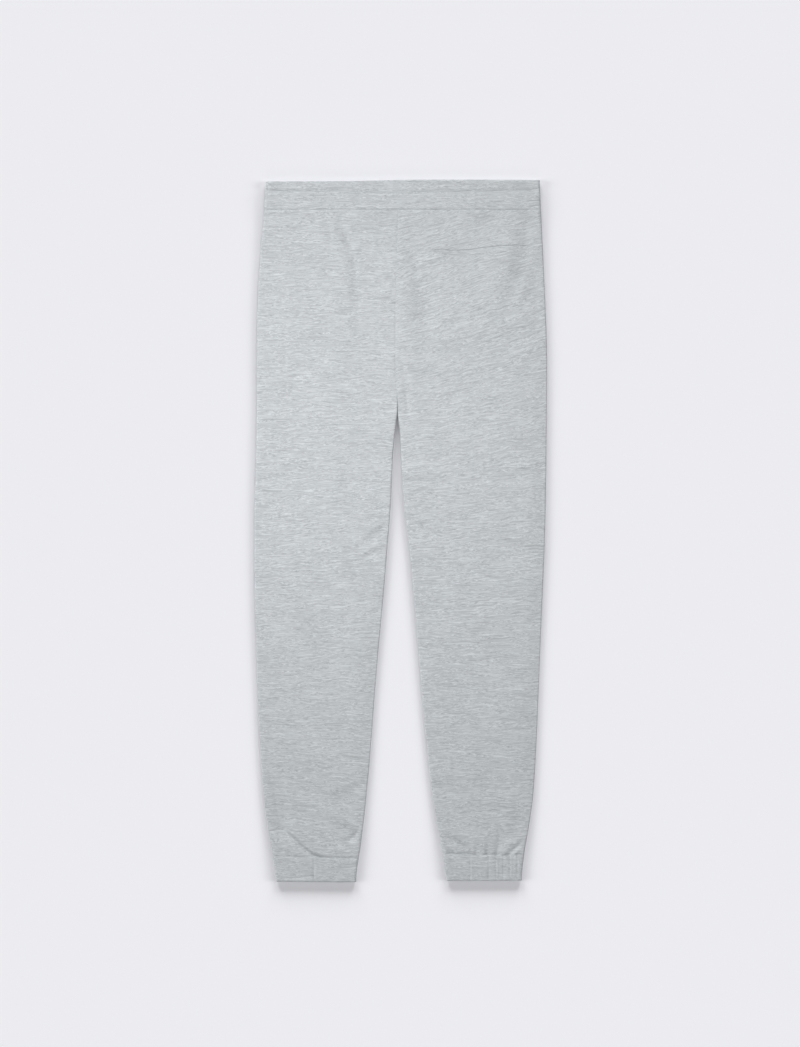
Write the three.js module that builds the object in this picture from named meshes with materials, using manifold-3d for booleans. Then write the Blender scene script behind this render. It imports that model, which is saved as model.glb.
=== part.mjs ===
// Jogger sweatpants laid flat with the back uppermost, in millimetres.
// Two back panels lie on two front panels. An elastic waistband and two elastic cuffs, each a
// ring, close the ends, and one welt pocket is let into the right back panel.
// X runs across the garment, +Y from the cuffs to the waist and +Z up from the surface that it
// lies on. "Down" is the distance along the garment from the waist edge towards the cuffs.

import * as THREE from "three";
import { mergeVertices } from "three/addons/utils/BufferGeometryUtils.js";
import Module from "manifold-3d";

const { lerp, smoothstep, degToRad } = THREE.MathUtils;

// Driving dimensions

const LENGTH = 1019.4; // waist edge to the lowest cuff hem
const WAIST_SEAM = 43.6; // depth of the waistband
const CROTCH = 326.7; // waist edge to the crotch seam
const CLOTH = 1.8; // brushed sweatshirt cloth
const SEAM_GAP = 0.3; // clearance between sewn pieces
const BAND_WALL = 4.0; // folded cloth round an elastic, waistband
const BAND_HALF = 4.25; // half the height of the flattened waistband
const CUFF_WALL = 3.4; // folded cloth round an elastic, cuffs
const CUFF_HALF = 4.0; // half the height of a flattened cuff
const EDGE_ROLL = 42; // run over which a panel rises from its turned edge to its full loft
const CROTCH_DROP = 36; // run over which the centre seam turns down into the inside leg seams
const ANKLE = 900; // start of the stretch that eases into the cuff seam
const CALM_EDGE = 7; // run beside a turned side edge in which folds die away

const HALF_GAP = SEAM_GAP / 2;
const CLOTH_COLOUR = 0xc8cbce;
const BAND_COLOUR = 0xc4c8cb;
const CUFF_COLOUR = 0xb8bbbf;

// Side edges of the whole garment
const SIDES = [
  { down: 0, left: -196.2, right: 202.0 },
  { down: 29, left: -197.6, right: 203.0 },
  { down: 44, left: -198.6, right: 203.8 },
  { down: 102, left: -203.6, right: 206.5 },
  { down: 174, left: -207.7, right: 209.8 },
  { down: 247, left: -209.0, right: 212.3 },
  { down: 327, left: -209.1, right: 212.2 },
  { down: 392, left: -210.2, right: 211.6 },
  { down: 465, left: -212.2, right: 210.6 },
  { down: 537, left: -212.5, right: 208.9 },
  { down: 610, left: -211.8, right: 205.8 },
  { down: 682, left: -209.7, right: 202.7 },
  { down: 755, left: -207.3, right: 199.8 },
  { down: 828, left: -203.8, right: 196.6 },
  { down: 900, left: -198.4, right: 191.8 },
  { down: 944, left: -192.4, right: 185.6 },
  { down: 973, left: -187.0, right: 180.4 },
  { down: 985, left: -185.2, right: 178.8 },
  { down: 1002, left: -182.8, right: 176.8 },
  { down: 1020, left: -180.6, right: 176.0 },
];

// Centre back seam, from the waist to the crotch
const CENTRE_SEAM = [
  { down: 44, x: -4.0 },
  { down: 154, x: -6.9 },
  { down: 192, x: -7.6 },
  { down: 286, x: -7.0 },
  { down: 327, x: -4.0 },
];

// Inside leg edges, from the crotch to the cuff hems
const INSIDE_LEGS = [
  { down: 327, left: -4.0, right: -4.0 },
  { down: 337, left: -4.8, right: -1.8 },
  { down: 363, left: -7.9, right: -1.2 },
  { down: 392, left: -10.8, right: 0.4 },
  { down: 428, left: -12.8, right: 1.6 },
  { down: 465, left: -14.2, right: 4.2 },
  { down: 537, left: -19.6, right: 12.8 },
  { down: 610, left: -25.6, right: 19.7 },
  { down: 682, left: -32.3, right: 25.8 },
  { down: 755, left: -38.4, right: 31.8 },
  { down: 828, left: -43.8, right: 38.8 },
  { down: 900, left: -50.3, right: 47.4 },
  { down: 944, left: -55.2, right: 54.8 },
  { down: 973, left: -59.0, right: 60.2 },
  { down: 985, left: -60.8, right: 62.0 },
  { down: 1002, left: -63.6, right: 64.4 },
  { down: 1020, left: -64.6, right: 67.3 },
];

// Half the height at the turned edges, and the height of the cloth between them
const LOFT = [
  { down: 44, edge: 3.9, middle: 7.2 },
  { down: 70, edge: 3.2, middle: 6.3 },
  { down: 110, edge: 2.8, middle: 5.8 },
  { down: 200, edge: 2.6, middle: 5.4 },
  { down: 500, edge: 2.6, middle: 5.3 },
  { down: 900, edge: 2.6, middle: 5.5 },
  { down: 950, edge: 3.1, middle: 6.3 },
  { down: 985, edge: 3.8, middle: 7.2 },
];

// Folds of the upper cloth: a soft trough where depth is negative, a ridge where it is positive
const FOLDS = [
  { x: 6, down: 68, toX: 12, toDown: 148, width: 10, depth: -0.8 },
  { x: 4, down: 284, toX: 7, toDown: 345, width: 8, depth: -0.8 },
  { x: 190, down: 70, toX: 184, toDown: 94, width: 10, depth: -0.5 },
  { x: 182, down: 96, toX: 170, toDown: 160, width: 11, depth: -0.6 },
  { x: -91, down: 46, toX: -79, toDown: 75, width: 9, depth: -0.7 },
  { x: -79, down: 75, toX: -76, toDown: 128, width: 9, depth: -0.5 },
  { x: -67, down: 60, toX: -63, toDown: 120, width: 9, depth: 0.5 },
  { x: -114, down: 46, toX: -107, toDown: 70, width: 8, depth: -0.4 },
  { x: -26, down: 500, toX: -17, toDown: 486, width: 7, depth: -0.6 },
  { x: 4, down: 428, toX: 48, toDown: 436, width: 9, depth: -0.5 },
  { x: 10, down: 494, toX: 34, toDown: 505, width: 8, depth: -0.5 },
  { x: 66, down: 781, toX: 119, toDown: 799, width: 12, depth: -0.4 },
  { x: -171, down: 915, toX: -159, toDown: 946, width: 8, depth: -0.8 },
  { x: -176, down: 938, toX: -146, toDown: 966, width: 6, depth: -1.1 },
  { x: -146, down: 966, toX: -120, toDown: 984, width: 6, depth: -1.3 },
  { x: -152, down: 944, toX: -122, toDown: 970, width: 8, depth: 0.9 },
  { x: -103, down: 950, toX: -68, toDown: 950, width: 9, depth: -0.8 },
  { x: 70, down: 952, toX: 88, toDown: 978, width: 6, depth: 1.2 },
  { x: 84, down: 955, toX: 93, toDown: 976, width: 6, depth: -1.0 },
  { x: 138, down: 972, toX: 141, toDown: 951, width: 7, depth: -0.9 },
  { x: 161, down: 976, toX: 173, toDown: 964, width: 7, depth: 0.8 },
];

// Rows along a panel: an even share of each stretch, closer where the form changes
const STRETCHES = [
  { from: WAIST_SEAM + HALF_GAP, to: 110, rows: 5 },
  { from: 110, to: 290, rows: 8 },
  { from: 290, to: CROTCH, rows: 4 },
  { from: CROTCH, to: 350, rows: 2 },
  { from: 350, to: ANKLE, rows: 17 },
  { from: ANKLE, to: null, rows: 8 },
];

// Waistband, along its back wall: the narrow upper and the wide lower elastic channel
const WAIST_EDGE = [
  { x: -197, down: 2.2 },
  { x: -56, down: 1.5 },
  { x: -25, down: 0.6 },
  { x: 0, down: 0.0 },
  { x: 203, down: 0.0 },
];
const STITCH_LINE = { atEnds: 14.5, bow: 4.0, halfWidth: 200 };
const BAND_ROWS = [
  { channel: "upper", share: 0.0, dip: 1.5 },
  { channel: "upper", share: 0.09, dip: 0.3 },
  { channel: "upper", share: 0.5, dip: 0.0 },
  { channel: "upper", share: 0.9, dip: 0.3 },
  { channel: "upper", share: 1.0, dip: 1.2 },
  { channel: "lower", share: 0.06, dip: 0.3 },
  { channel: "lower", share: 0.5, dip: 0.0 },
  { channel: "lower", share: 0.93, dip: 0.2 },
  { channel: "lower", share: 1.0, dip: 1.1 },
];

// Cuffs: where the seam and the hem lie, and the gathers that show as upright grooves
const CUFF_ROWS = [
  { share: 0.0, dip: 0.9 },
  { share: 0.07, dip: 0.15 },
  { share: 0.35, dip: 0.0 },
  { share: 0.7, dip: 0.0 },
  { share: 0.94, dip: 0.3 },
  { share: 1.0, dip: 1.5 },
];
const LEGS = {
  left: {
    seam: { side: 981.8, inside: 985.2 },
    hem: { side: 1018.6, inside: LENGTH },
    backGathers: [-126],
    frontGathers: [-158, -139, -101, -84],
  },
  right: {
    seam: { side: 980.8, inside: 978.8 },
    hem: { side: 1017.2, inside: 1017.4 },
    backGathers: [99.7, 128, 138.7, 148.5, 158.6, 169.2],
    frontGathers: [84, 112, 146],
  },
};
const GATHER = { halfWidth: 2.3, depth: 1.1, clearance: 3.7 };

// Welt pocket in the right back panel: its mouth, and the bag behind it
const POCKET_MOUTH = [
  { x: 45.4, down: 101.2 },
  { x: 97.6, down: 101.0 },
  { x: 117, down: 98.3 },
  { x: 169, down: 94.5 },
  { x: 184.8, down: 95.6 },
];
const WELT = { height: 9.5, wall: 2.0, mouthGap: 0.9 };
const BAG = { left: 51, right: 181, top: 84, bottom: 236, corner: 22, rise: 2.1, wall: 1.0 };
const BAG_RELIEF = { height: 0.9, ease: 9 };

// How finely the surfaces are divided
const BACK_STEPS = { turn: 3, flat: 15, everyRow: 1 };
const FRONT_STEPS = { turn: 2, flat: 7, everyRow: 3 };
const BAND_STEPS = { wall: 22, end: 4 };
const CUFF_STEPS = { wall: 14, end: 4 };
const WELT_STEPS = 12;
const BAG_STEPS = 8;
const BAG_ROWS = [0, 0.3, 0.6, 0.8, 1];

// Smooth curves through the rows of a table, one for each named column
function curves(rows, along, ...columns) {
  const interpolant = new THREE.CubicInterpolant(
    rows.map((row) => row[along]),
    rows.flatMap((row) => columns.map((column) => row[column])),
    columns.length,
  );
  return (at) => {
    const values = interpolant.evaluate(at);
    return Object.fromEntries(columns.map((column, i) => [column, values[i]]));
  };
}

const sidesAt = curves(SIDES, "down", "left", "right");
const centreSeamAt = curves(CENTRE_SEAM, "down", "x");
const insideLegsAt = curves(INSIDE_LEGS, "down", "left", "right");
const loftAt = curves(LOFT, "down", "edge", "middle");
const waistEdgeAt = curves(WAIST_EDGE, "x", "down");
const pocketMouthAt = curves(POCKET_MOUTH, "x", "down");

// The point at x across and down along the garment, at a height above the surface
function place(x, down, z) {
  return new THREE.Vector3(x, LENGTH / 2 - down, z);
}

// A leg's edge at the side seam, and its edge at the centre seam or the inside leg seam
function edgesAt(leg, down) {
  const towardsCentre = leg === "left" ? 1 : -1;
  const inside = down < CROTCH ? centreSeamAt(down).x : insideLegsAt(down)[leg];
  return { side: sidesAt(down)[leg], inside: inside - towardsCentre * HALF_GAP, towardsCentre };
}

// How far one fold lifts or sinks the cloth at a place
function foldAt(fold, x, down) {
  const run = new THREE.Vector2(fold.toX - fold.x, fold.toDown - fold.down);
  const from = new THREE.Vector2(x - fold.x, down - fold.down);
  const share = THREE.MathUtils.clamp(from.dot(run) / run.lengthSq(), 0, 1);
  const away = from.addScaledVector(run, -share).length() / fold.width;
  return fold.depth * Math.exp(-away * away);
}

// The low plateau that the pocket bag makes under the right back panel
function bagRelief(x, down) {
  const { left, right, top, bottom } = BAG;
  const { height, ease } = BAG_RELIEF;
  const within = (at, low, high) =>
    smoothstep(at, low - ease, low + ease) * smoothstep(-at, -high - ease, -high + ease);
  return height * within(x, left, right) * within(down, top, bottom);
}

// Height of the upper cloth between its turned edges
function clothTop(leg, x, down) {
  const { side, inside } = edgesAt(leg, down);
  const { edge, middle } = loftAt(down);
  const drop = smoothstep(down, CROTCH - CROTCH_DROP, CROTCH);
  const sideRise = smoothstep(Math.abs(x - side), edge, edge + EDGE_ROLL);
  const insideRise = smoothstep(Math.abs(x - inside), edge, edge + EDGE_ROLL);
  const rise = sideRise * lerp(1, insideRise, drop);
  const folds = FOLDS.reduce((sum, fold) => sum + foldAt(fold, x, down), 0);
  const calm = smoothstep(Math.abs(x - side), edge, edge + CALM_EDGE);
  return lerp(2 * edge, middle, rise) + calm * (folds + bagRelief(x, down));
}

// Stations across a panel: the turned side edge, even steps, and the turned inner edge
function panelStations(turnSteps, flatSteps) {
  const turns = Array.from({ length: turnSteps }, (_, i) => degToRad((90 * i) / turnSteps));
  const flats = Array.from({ length: flatSteps + 1 }, (_, i) => i / flatSteps);
  return [
    ...turns.map((turn) => ({ edge: "side", turn, share: 0 })),
    ...flats.map((share) => ({ edge: "none", share })),
    ...turns.reverse().map((turn) => ({ edge: "inside", turn, share: 1 })),
  ];
}

// Rows down a panel: all of them, or only one in a few, with the crotch always among them
function panelRows(every) {
  const rows = STRETCHES.flatMap((stretch) =>
    Array.from({ length: stretch.rows }, (_, i) => ({ stretch, share: i / stretch.rows })),
  );
  const last = { stretch: STRETCHES.at(-1), share: 1 };
  return [...rows.filter((row, i) => i % every === 0 || row.stretch.from === CROTCH), last];
}

// How far down a row of a panel lies at a station: the last stretch ends at the cuff seam
function rowDown(leg, row, across) {
  const { side, inside } = LEGS[leg].seam;
  const end = row.stretch.to ?? lerp(side, inside, across) - HALF_GAP;
  return lerp(row.stretch.from, end, row.share);
}

// The outer and inner point of a panel's wall. The back panel faces up, the front panel down.
function panelPoint(leg, layer, row, station) {
  const down = rowDown(leg, row, station.share);
  const { side, inside, towardsCentre } = edgesAt(leg, down);
  const { edge } = loftAt(down);
  const drop = smoothstep(down, CROTCH - CROTCH_DROP, CROTCH);
  const flat = (x, depth) => (layer === "back" ? clothTop(leg, x, down) - depth : depth);

  if (station.edge === "none") {
    const x = lerp(side + towardsCentre * edge, inside - towardsCentre * edge, station.share);
    return [place(x, down, flat(x, 0)), place(x, down, flat(x, CLOTH))];
  }
  const turned = (depth) => {
    const height = (edge - HALF_GAP - depth) * Math.sin(station.turn);
    return layer === "back" ? edge + HALF_GAP + height : edge - HALF_GAP - height;
  };
  const inward = (depth) => edge - (edge - depth) * Math.cos(station.turn);
  if (station.edge === "side") {
    return [0, CLOTH].map((depth) => place(side + towardsCentre * inward(depth), down, turned(depth)));
  }
  const seamX = inside - towardsCentre * inward(0);
  return [0, CLOTH].map((depth) => {
    const x = lerp(seamX, inside - towardsCentre * inward(depth), drop);
    return place(x, down, lerp(flat(seamX, depth), turned(depth), drop));
  });
}

// Stations round a flattened ring: back wall, right end, front wall, left end
function ringStations(left, right, steps, backGathers, frontGathers) {
  const wall = (name, gathers) => {
    const even = Array.from({ length: steps.wall + 1 }, (_, i) => lerp(left, right, i / steps.wall));
    const clear = even.filter((x) => gathers.every((at) => Math.abs(x - at) > GATHER.clearance));
    const grooves = gathers.flatMap((at) => [
      { x: at - GATHER.halfWidth, groove: 0 },
      { x: at, groove: GATHER.depth },
      { x: at + GATHER.halfWidth, groove: 0 },
    ]);
    const plain = clear.map((x) => ({ x, groove: 0 }));
    return [...plain, ...grooves]
      .sort((a, b) => a.x - b.x)
      .map(({ x, groove }) => ({ wall: name, share: (x - left) / (right - left), groove }));
  };
  const end = (name, share, from) =>
    Array.from({ length: steps.end - 1 }, (_, i) => ({
      wall: name,
      share,
      turn: degToRad(from - (180 * (i + 1)) / steps.end),
    }));
  return [
    ...wall("back", backGathers),
    ...end("right", 1, 90),
    ...wall("front", frontGathers).reverse(),
    ...end("left", 0, -90),
  ];
}

// The outer and inner point of a ring's wall at one row and station
function ringPoint(ring, row, station) {
  const { half, wall } = ring;
  const guess = lerp(ring.left, ring.right, station.share);
  const down = ring.downAt(row, guess, station.share);
  const { left, right } = ring.endsAt(down);
  const x = lerp(left + half, right - half, station.share);
  if (station.wall === "back") {
    return [place(x, down, 2 * half - row.dip - station.groove), place(x, down, 2 * half - wall)];
  }
  if (station.wall === "front") {
    return [place(x, down, station.groove), place(x, down, wall)];
  }
  const radius = half - (row.dip / 2) * (1 + Math.sin(station.turn));
  const round = (reach) => [x + reach * Math.cos(station.turn), half + reach * Math.sin(station.turn)];
  const [outerX, outerZ] = round(radius);
  const [innerX, innerZ] = round(half - wall);
  return [place(outerX, down, outerZ), place(innerX, down, innerZ)];
}

// A closed solid between two grids of points. A ring's grid joins its last column to its first.
function wallSolid(rows, stations, pointAt, ring) {
  const points = [];
  rows.forEach((row) => stations.forEach((station) => points.push(...pointAt(row, station))));
  const count = stations.length;
  const index = (r, c, inner) => 2 * (r * count + (c % count)) + inner;
  const triangles = [];
  const quad = (a, b, c, d) => triangles.push(a, b, c, a, c, d);
  const lastColumn = ring ? count : count - 1;
  for (let c = 0; c < lastColumn; c++) {
    for (let r = 0; r < rows.length - 1; r++) {
      quad(index(r, c, 0), index(r + 1, c, 0), index(r + 1, c + 1, 0), index(r, c + 1, 0));
      quad(index(r, c, 1), index(r, c + 1, 1), index(r + 1, c + 1, 1), index(r + 1, c, 1));
    }
    const end = rows.length - 1;
    quad(index(0, c, 0), index(0, c + 1, 0), index(0, c + 1, 1), index(0, c, 1));
    quad(index(end, c, 0), index(end, c, 1), index(end, c + 1, 1), index(end, c + 1, 0));
  }
  const last = count - 1;
  for (let r = 0; !ring && r < rows.length - 1; r++) {
    quad(index(r, 0, 0), index(r, 0, 1), index(r + 1, 0, 1), index(r + 1, 0, 0));
    quad(index(r, last, 0), index(r + 1, last, 0), index(r + 1, last, 1), index(r, last, 1));
  }
  const geometry = new THREE.BufferGeometry().setFromPoints(points);
  geometry.setIndex(signedVolume(points, triangles) < 0 ? triangles.reverse() : triangles);
  return geometry;
}

// Volume inside a triangle mesh, negative where its faces point inwards
function signedVolume(points, triangles) {
  let sum = 0;
  for (let i = 0; i < triangles.length; i += 3) {
    const [a, b, c] = [0, 1, 2].map((k) => points[triangles[i + k]]);
    sum += a.dot(new THREE.Vector3().crossVectors(b, c)) / 6;
  }
  return sum;
}

// A back or front panel of one leg, with its half of the seat
function panel(leg, layer) {
  const steps = layer === "back" ? BACK_STEPS : FRONT_STEPS;
  const rows = panelRows(steps.everyRow);
  const stations = panelStations(steps.turn, steps.flat);
  return wallSolid(rows, stations, (row, station) => panelPoint(leg, layer, row, station), false);
}

// How far down the line of stitches lies that parts the two elastic channels
function stitchLine(x) {
  const { atEnds, bow, halfWidth } = STITCH_LINE;
  return atEnds + bow * (1 - (x / halfWidth) ** 2);
}

function waistband() {
  const ring = {
    half: BAND_HALF,
    wall: BAND_WALL,
    left: SIDES[0].left,
    right: SIDES[0].right,
    endsAt: sidesAt,
    downAt: (row, x) => {
      const top = waistEdgeAt(x).down;
      const stitches = stitchLine(x);
      return row.channel === "upper"
        ? lerp(top, stitches, row.share)
        : lerp(stitches, WAIST_SEAM - HALF_GAP, row.share);
    },
  };
  const stations = ringStations(ring.left, ring.right, BAND_STEPS, [], []);
  return wallSolid(BAND_ROWS, stations, (row, station) => ringPoint(ring, row, station), true);
}

function cuff(leg) {
  const { seam, hem, backGathers, frontGathers } = LEGS[leg];
  const endsAt = (down) => {
    const { side, inside } = edgesAt(leg, down);
    return { left: Math.min(side, inside), right: Math.max(side, inside) };
  };
  const { left, right } = endsAt(lerp(seam.side, hem.side, 0.5));
  const ring = {
    half: CUFF_HALF,
    wall: CUFF_WALL,
    left,
    right,
    endsAt,
    downAt: (row, x, share) => {
      const towardsInside = leg === "left" ? share : 1 - share;
      const top = lerp(seam.side, seam.inside, towardsInside) + HALF_GAP;
      return lerp(top, lerp(hem.side, hem.inside, towardsInside), row.share);
    },
  };
  const stations = ringStations(left, right, CUFF_STEPS, backGathers, frontGathers);
  return wallSolid(CUFF_ROWS, stations, (row, station) => ringPoint(ring, row, station), true);
}

// Even steps across the pocket's mouth, kept clear of its two ends by an inset
function mouthSteps(inset) {
  const from = POCKET_MOUTH[0].x + inset;
  const to = POCKET_MOUTH.at(-1).x - inset;
  return Array.from({ length: WELT_STEPS + 1 }, (_, i) => lerp(from, to, i / WELT_STEPS));
}

// The welt's opening seen from above: it follows the pocket's mouth
function weltOutline() {
  const xs = mouthSteps(0);
  const upper = xs.map((x) => place(x, pocketMouthAt(x).down, 0));
  const lower = xs.map((x) => place(x, pocketMouthAt(x).down + WELT.height, 0)).reverse();
  return new THREE.Shape([...upper, ...lower].map(({ x, y }) => new THREE.Vector2(x, y)));
}

// The folded strip that fills the opening, level with the panel round it
function pocketWelt() {
  const rows = [WELT.mouthGap, WELT.height / 2, WELT.height - SEAM_GAP];
  const pointAt = (below, x) => {
    const down = pocketMouthAt(x).down + below;
    const top = clothTop("right", x, down);
    return [place(x, down, top), place(x, down, top - WELT.wall)];
  };
  return wallSolid(rows, mouthSteps(SEAM_GAP), pointAt, false);
}

// One layer of pocketing between the panels, with rounded lower corners
function pocketBag() {
  const stations = Array.from({ length: BAG_STEPS + 1 }, (_, i) => i / BAG_STEPS);
  const pointAt = (share, across) => {
    const corner = BAG.corner * Math.abs(2 * across - 1) ** 5;
    const x = lerp(BAG.left, BAG.right, across);
    const down = lerp(BAG.top, BAG.bottom - corner, share);
    return [place(x, down, BAG.rise + BAG.wall), place(x, down, BAG.rise)];
  };
  return wallSolid(BAG_ROWS, stations, pointAt, false);
}

const wasm = await Module();
wasm.setup();

// The solid of a geometry, from its positions alone
function solidOf(geometry) {
  const bare = geometry.clone().deleteAttribute("normal").deleteAttribute("uv");
  const merged = mergeVertices(bare);
  return new wasm.Manifold(
    new wasm.Mesh({
      numProp: 3,
      vertProperties: merged.attributes.position.array,
      triVerts: new Uint32Array(merged.index.array),
    }),
  );
}

// The geometry of one solid with another cut away
function cut(geometry, tool) {
  const mesh = solidOf(geometry).subtract(solidOf(tool)).getMesh();
  const result = new THREE.BufferGeometry();
  result.setAttribute("position", new THREE.BufferAttribute(mesh.vertProperties, 3));
  result.setIndex(new THREE.BufferAttribute(mesh.triVerts, 1));
  return result;
}

function rightBackPanel() {
  const opening = new THREE.ExtrudeGeometry(weltOutline(), { depth: 2 * BAND_HALF, bevelEnabled: false });
  opening.translate(0, 0, CLOTH);
  return cut(panel("right", "back"), opening);
}

// One sewn piece of the garment
function piece(name, geometry, colour) {
  geometry.computeVertexNormals();
  const material = new THREE.MeshStandardMaterial({ color: colour, roughness: 0.95, metalness: 0 });
  const mesh = new THREE.Mesh(geometry, material);
  mesh.name = name;
  return mesh;
}

const garment = new THREE.Group();
garment.add(
  piece("back_left", panel("left", "back"), CLOTH_COLOUR),
  piece("back_right", rightBackPanel(), CLOTH_COLOUR),
  piece("front_left", panel("left", "front"), CLOTH_COLOUR),
  piece("front_right", panel("right", "front"), CLOTH_COLOUR),
  piece("waistband", waistband(), BAND_COLOUR),
  piece("cuff_left", cuff("left"), CUFF_COLOUR),
  piece("cuff_right", cuff("right"), CUFF_COLOUR),
  piece("pocket_welt", pocketWelt(), BAND_COLOUR),
  piece("pocket_bag", pocketBag(), CLOTH_COLOUR),
);

export default garment;
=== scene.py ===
"""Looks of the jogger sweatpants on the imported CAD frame.

The garment lies flat with its back uppermost. Every cloth piece is a thin shell on the form of its
solid. Sizes are in millimetres up to the mesh, which is in metres. "Down" is the distance along the
garment from the waist edge towards the cuffs.
"""

import logging
import math
from collections.abc import Callable, Sequence
from dataclasses import dataclass, field
from enum import Enum

import bmesh
import bpy
import numpy as np
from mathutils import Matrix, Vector


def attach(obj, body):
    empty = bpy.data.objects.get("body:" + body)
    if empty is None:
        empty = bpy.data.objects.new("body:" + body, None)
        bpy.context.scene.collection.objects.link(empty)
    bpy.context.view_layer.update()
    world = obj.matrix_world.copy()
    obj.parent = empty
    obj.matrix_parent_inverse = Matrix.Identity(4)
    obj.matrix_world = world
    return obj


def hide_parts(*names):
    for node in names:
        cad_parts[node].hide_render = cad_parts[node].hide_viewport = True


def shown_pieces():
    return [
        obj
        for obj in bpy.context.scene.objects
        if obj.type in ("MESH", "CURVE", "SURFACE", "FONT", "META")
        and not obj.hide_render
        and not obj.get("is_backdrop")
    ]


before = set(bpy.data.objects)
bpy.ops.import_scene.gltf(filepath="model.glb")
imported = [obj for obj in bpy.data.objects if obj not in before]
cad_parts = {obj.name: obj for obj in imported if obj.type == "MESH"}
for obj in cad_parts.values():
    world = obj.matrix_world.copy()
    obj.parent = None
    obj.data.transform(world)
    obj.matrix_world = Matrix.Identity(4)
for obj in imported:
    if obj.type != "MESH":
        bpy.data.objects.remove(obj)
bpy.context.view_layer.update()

log = logging.getLogger("jogger_sweatpants")

# A number, or an array of them
Numbers = float | np.ndarray

# Corners of a set of faces, each with rows, columns and whether it lies on the inner grid
Corners = list[tuple[np.ndarray, np.ndarray, bool]]

# Driving sizes, as in the CAD source

MM = 0.001
LENGTH = 1019.4
WAIST_SEAM = 43.6
CROTCH = 326.7
CLOTH = 1.8
HALF_GAP = 0.15
BAND_WALL = 4.0
BAND_HALF = 4.25
CUFF_WALL = 3.4
CUFF_HALF = 4.0
EDGE_ROLL = 42.0
ANKLE = 900.0

# Sizes of the dressed form alone

GAP_OPENS = 337.0
CROTCH_DROP = 30.0
SEWN_GAP = 0.03
LEAST_CLOTH = 0.5
LAYER_CLEARANCE = 0.35
BAG_CLEARANCE_SHARE = 0.5
CALM_EDGE = 7.0
FRONT_CALM = (4.0, 14.0)
FRONT_RIDGE = 0.4
HEAP_AWAY = 1.4
SLOW_WANDER, QUICK_WANDER = 0.16, 0.05
SHARP_ANGLE = math.radians(48)

# Rows of points on the leg panels

NEAR_SEAM_ROWS = (0, 0.6, 1.2, 1.9, 2.7, 3.6, 4.6, 5.8)
BODY_STARTS = 7.4
BODY_STOPS = 0.5
FORK_SPLIT = 0.01
FORK_SPARE = 0.6
ANKLE_CROWDING = 1.25

# Soft dips beside a seam or line: place, depth and reach of each, a depth below 0 being a swelling

CENTRE_SEAM_DIPS = ((0, 0.28, 1.5),)
WAIST_SEAM_DIPS = ((0, -0.7, 15), (0, 0.5, 1.3))
ANKLE_DIPS = ((0, 0.7, 2.4),)
LINE_BOW = ((-190, 1.2, 50),)
LINE_DEEPER = ((-192, 0.9, 55), (202, 0.4, 50))
TWIN_DIPS = ((0, 0.35, 1.3),)
BAND_SEAM_DIPS = ((0, 0.5, 4.5), (3, -0.3, 1.4), (0, 0.6, 1.2))
BAND_FRONT_LINE_DIPS = ((0, 0.8, 2.4),)
BAND_FRONT_TWIN_DIPS = ((0, 0.4, 1.5),)
BAND_FRONT_EDGE_DIPS = ((0, 1.1, 1.4),)
CUFF_SEAM_DIPS = ((0, 0.6, 1.4), (5, -0.12, 3))
CUFF_FRONT_DIPS = ((0, 0.8, 1.5),)
WELT_SEAM_DIPS = ((0, 0.08, 0.8),)

# Rounded edges: reach and depth

BAND_ROLL = (2.2, 1.9)
HEM_ROLL = (1.8, 1.2)
WELT_ROLL = (1.0, 0.6)

# Uneven ripples: wave length, height and phase of each part

WAIST_GATHERS = ((17, 0.10, 0.4), (27, 0.12, 1.9), (11, 0.05, 0.2))
WAIST_GATHERS_REACH = 60.0
ANKLE_CRIMP = ((13, 0.20, 0.8), (21, 0.20, 2.2), (8, 0.08, 1.1))
ANKLE_CRIMP_REACH = 34.0
BAND_RIPPLES = ((9.5, 0.05, 0.3), (15.5, 0.07, 1.2), (26, 0.08, 2.9), (61, 0.1, 0.5))
BAND_RIPPLE_REACH = 11.0
BAND_WAVE, BAND_WAVE_ACROSS, BAND_WAVE_DOWN = 0.05, 7.0, 3.0
CUFF_RIPPLES = ((7.5, 0.06, 0.5), (12, 0.08, 1.7))

# The stitched line of the waistband, the first three sizes as in the CAD source

STITCH_AT_ENDS = 14.5
STITCH_BOW = 4.0
STITCH_HALF_WIDTH = 200.0
LINE_RAISE = 0.2
LINE_DEPTH = 1.2
LINE_REACH_ABOVE, LINE_REACH_BELOW = 2.7, 3.8
RING_EASE = 0.12
THREAD_LIFT = 0.02
THREAD_SIDES = 6
STITCH_END_GAP = 5.0
# Profile of one stitch: share of its length, lift and size, both in thread radii
THREAD_BOW = ((0.0, -0.25, 0.35), (0.12, 0.15, 0.9), (0.5, 0.3, 1.0), (0.88, 0.15, 0.9), (1.0, -0.25, 0.35))

# Shifts of the grain map, in metres, that keep the marl of one piece unlike that of the next

LOWER_LAYER_SHIFT = 3.0
RIGHT_LEG_SHIFT = 1.3
BAND_SHIFT = 5.0
CUFF_SHIFT = 7.0
WELT_SHIFT = 9.7
BAG_SHIFT = 11.0

# Tables: place down, then the values there. Those of the waist edge and the pocket's mouth begin with
# the place across. The CAD source has the same, but its legs part a little higher.

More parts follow.
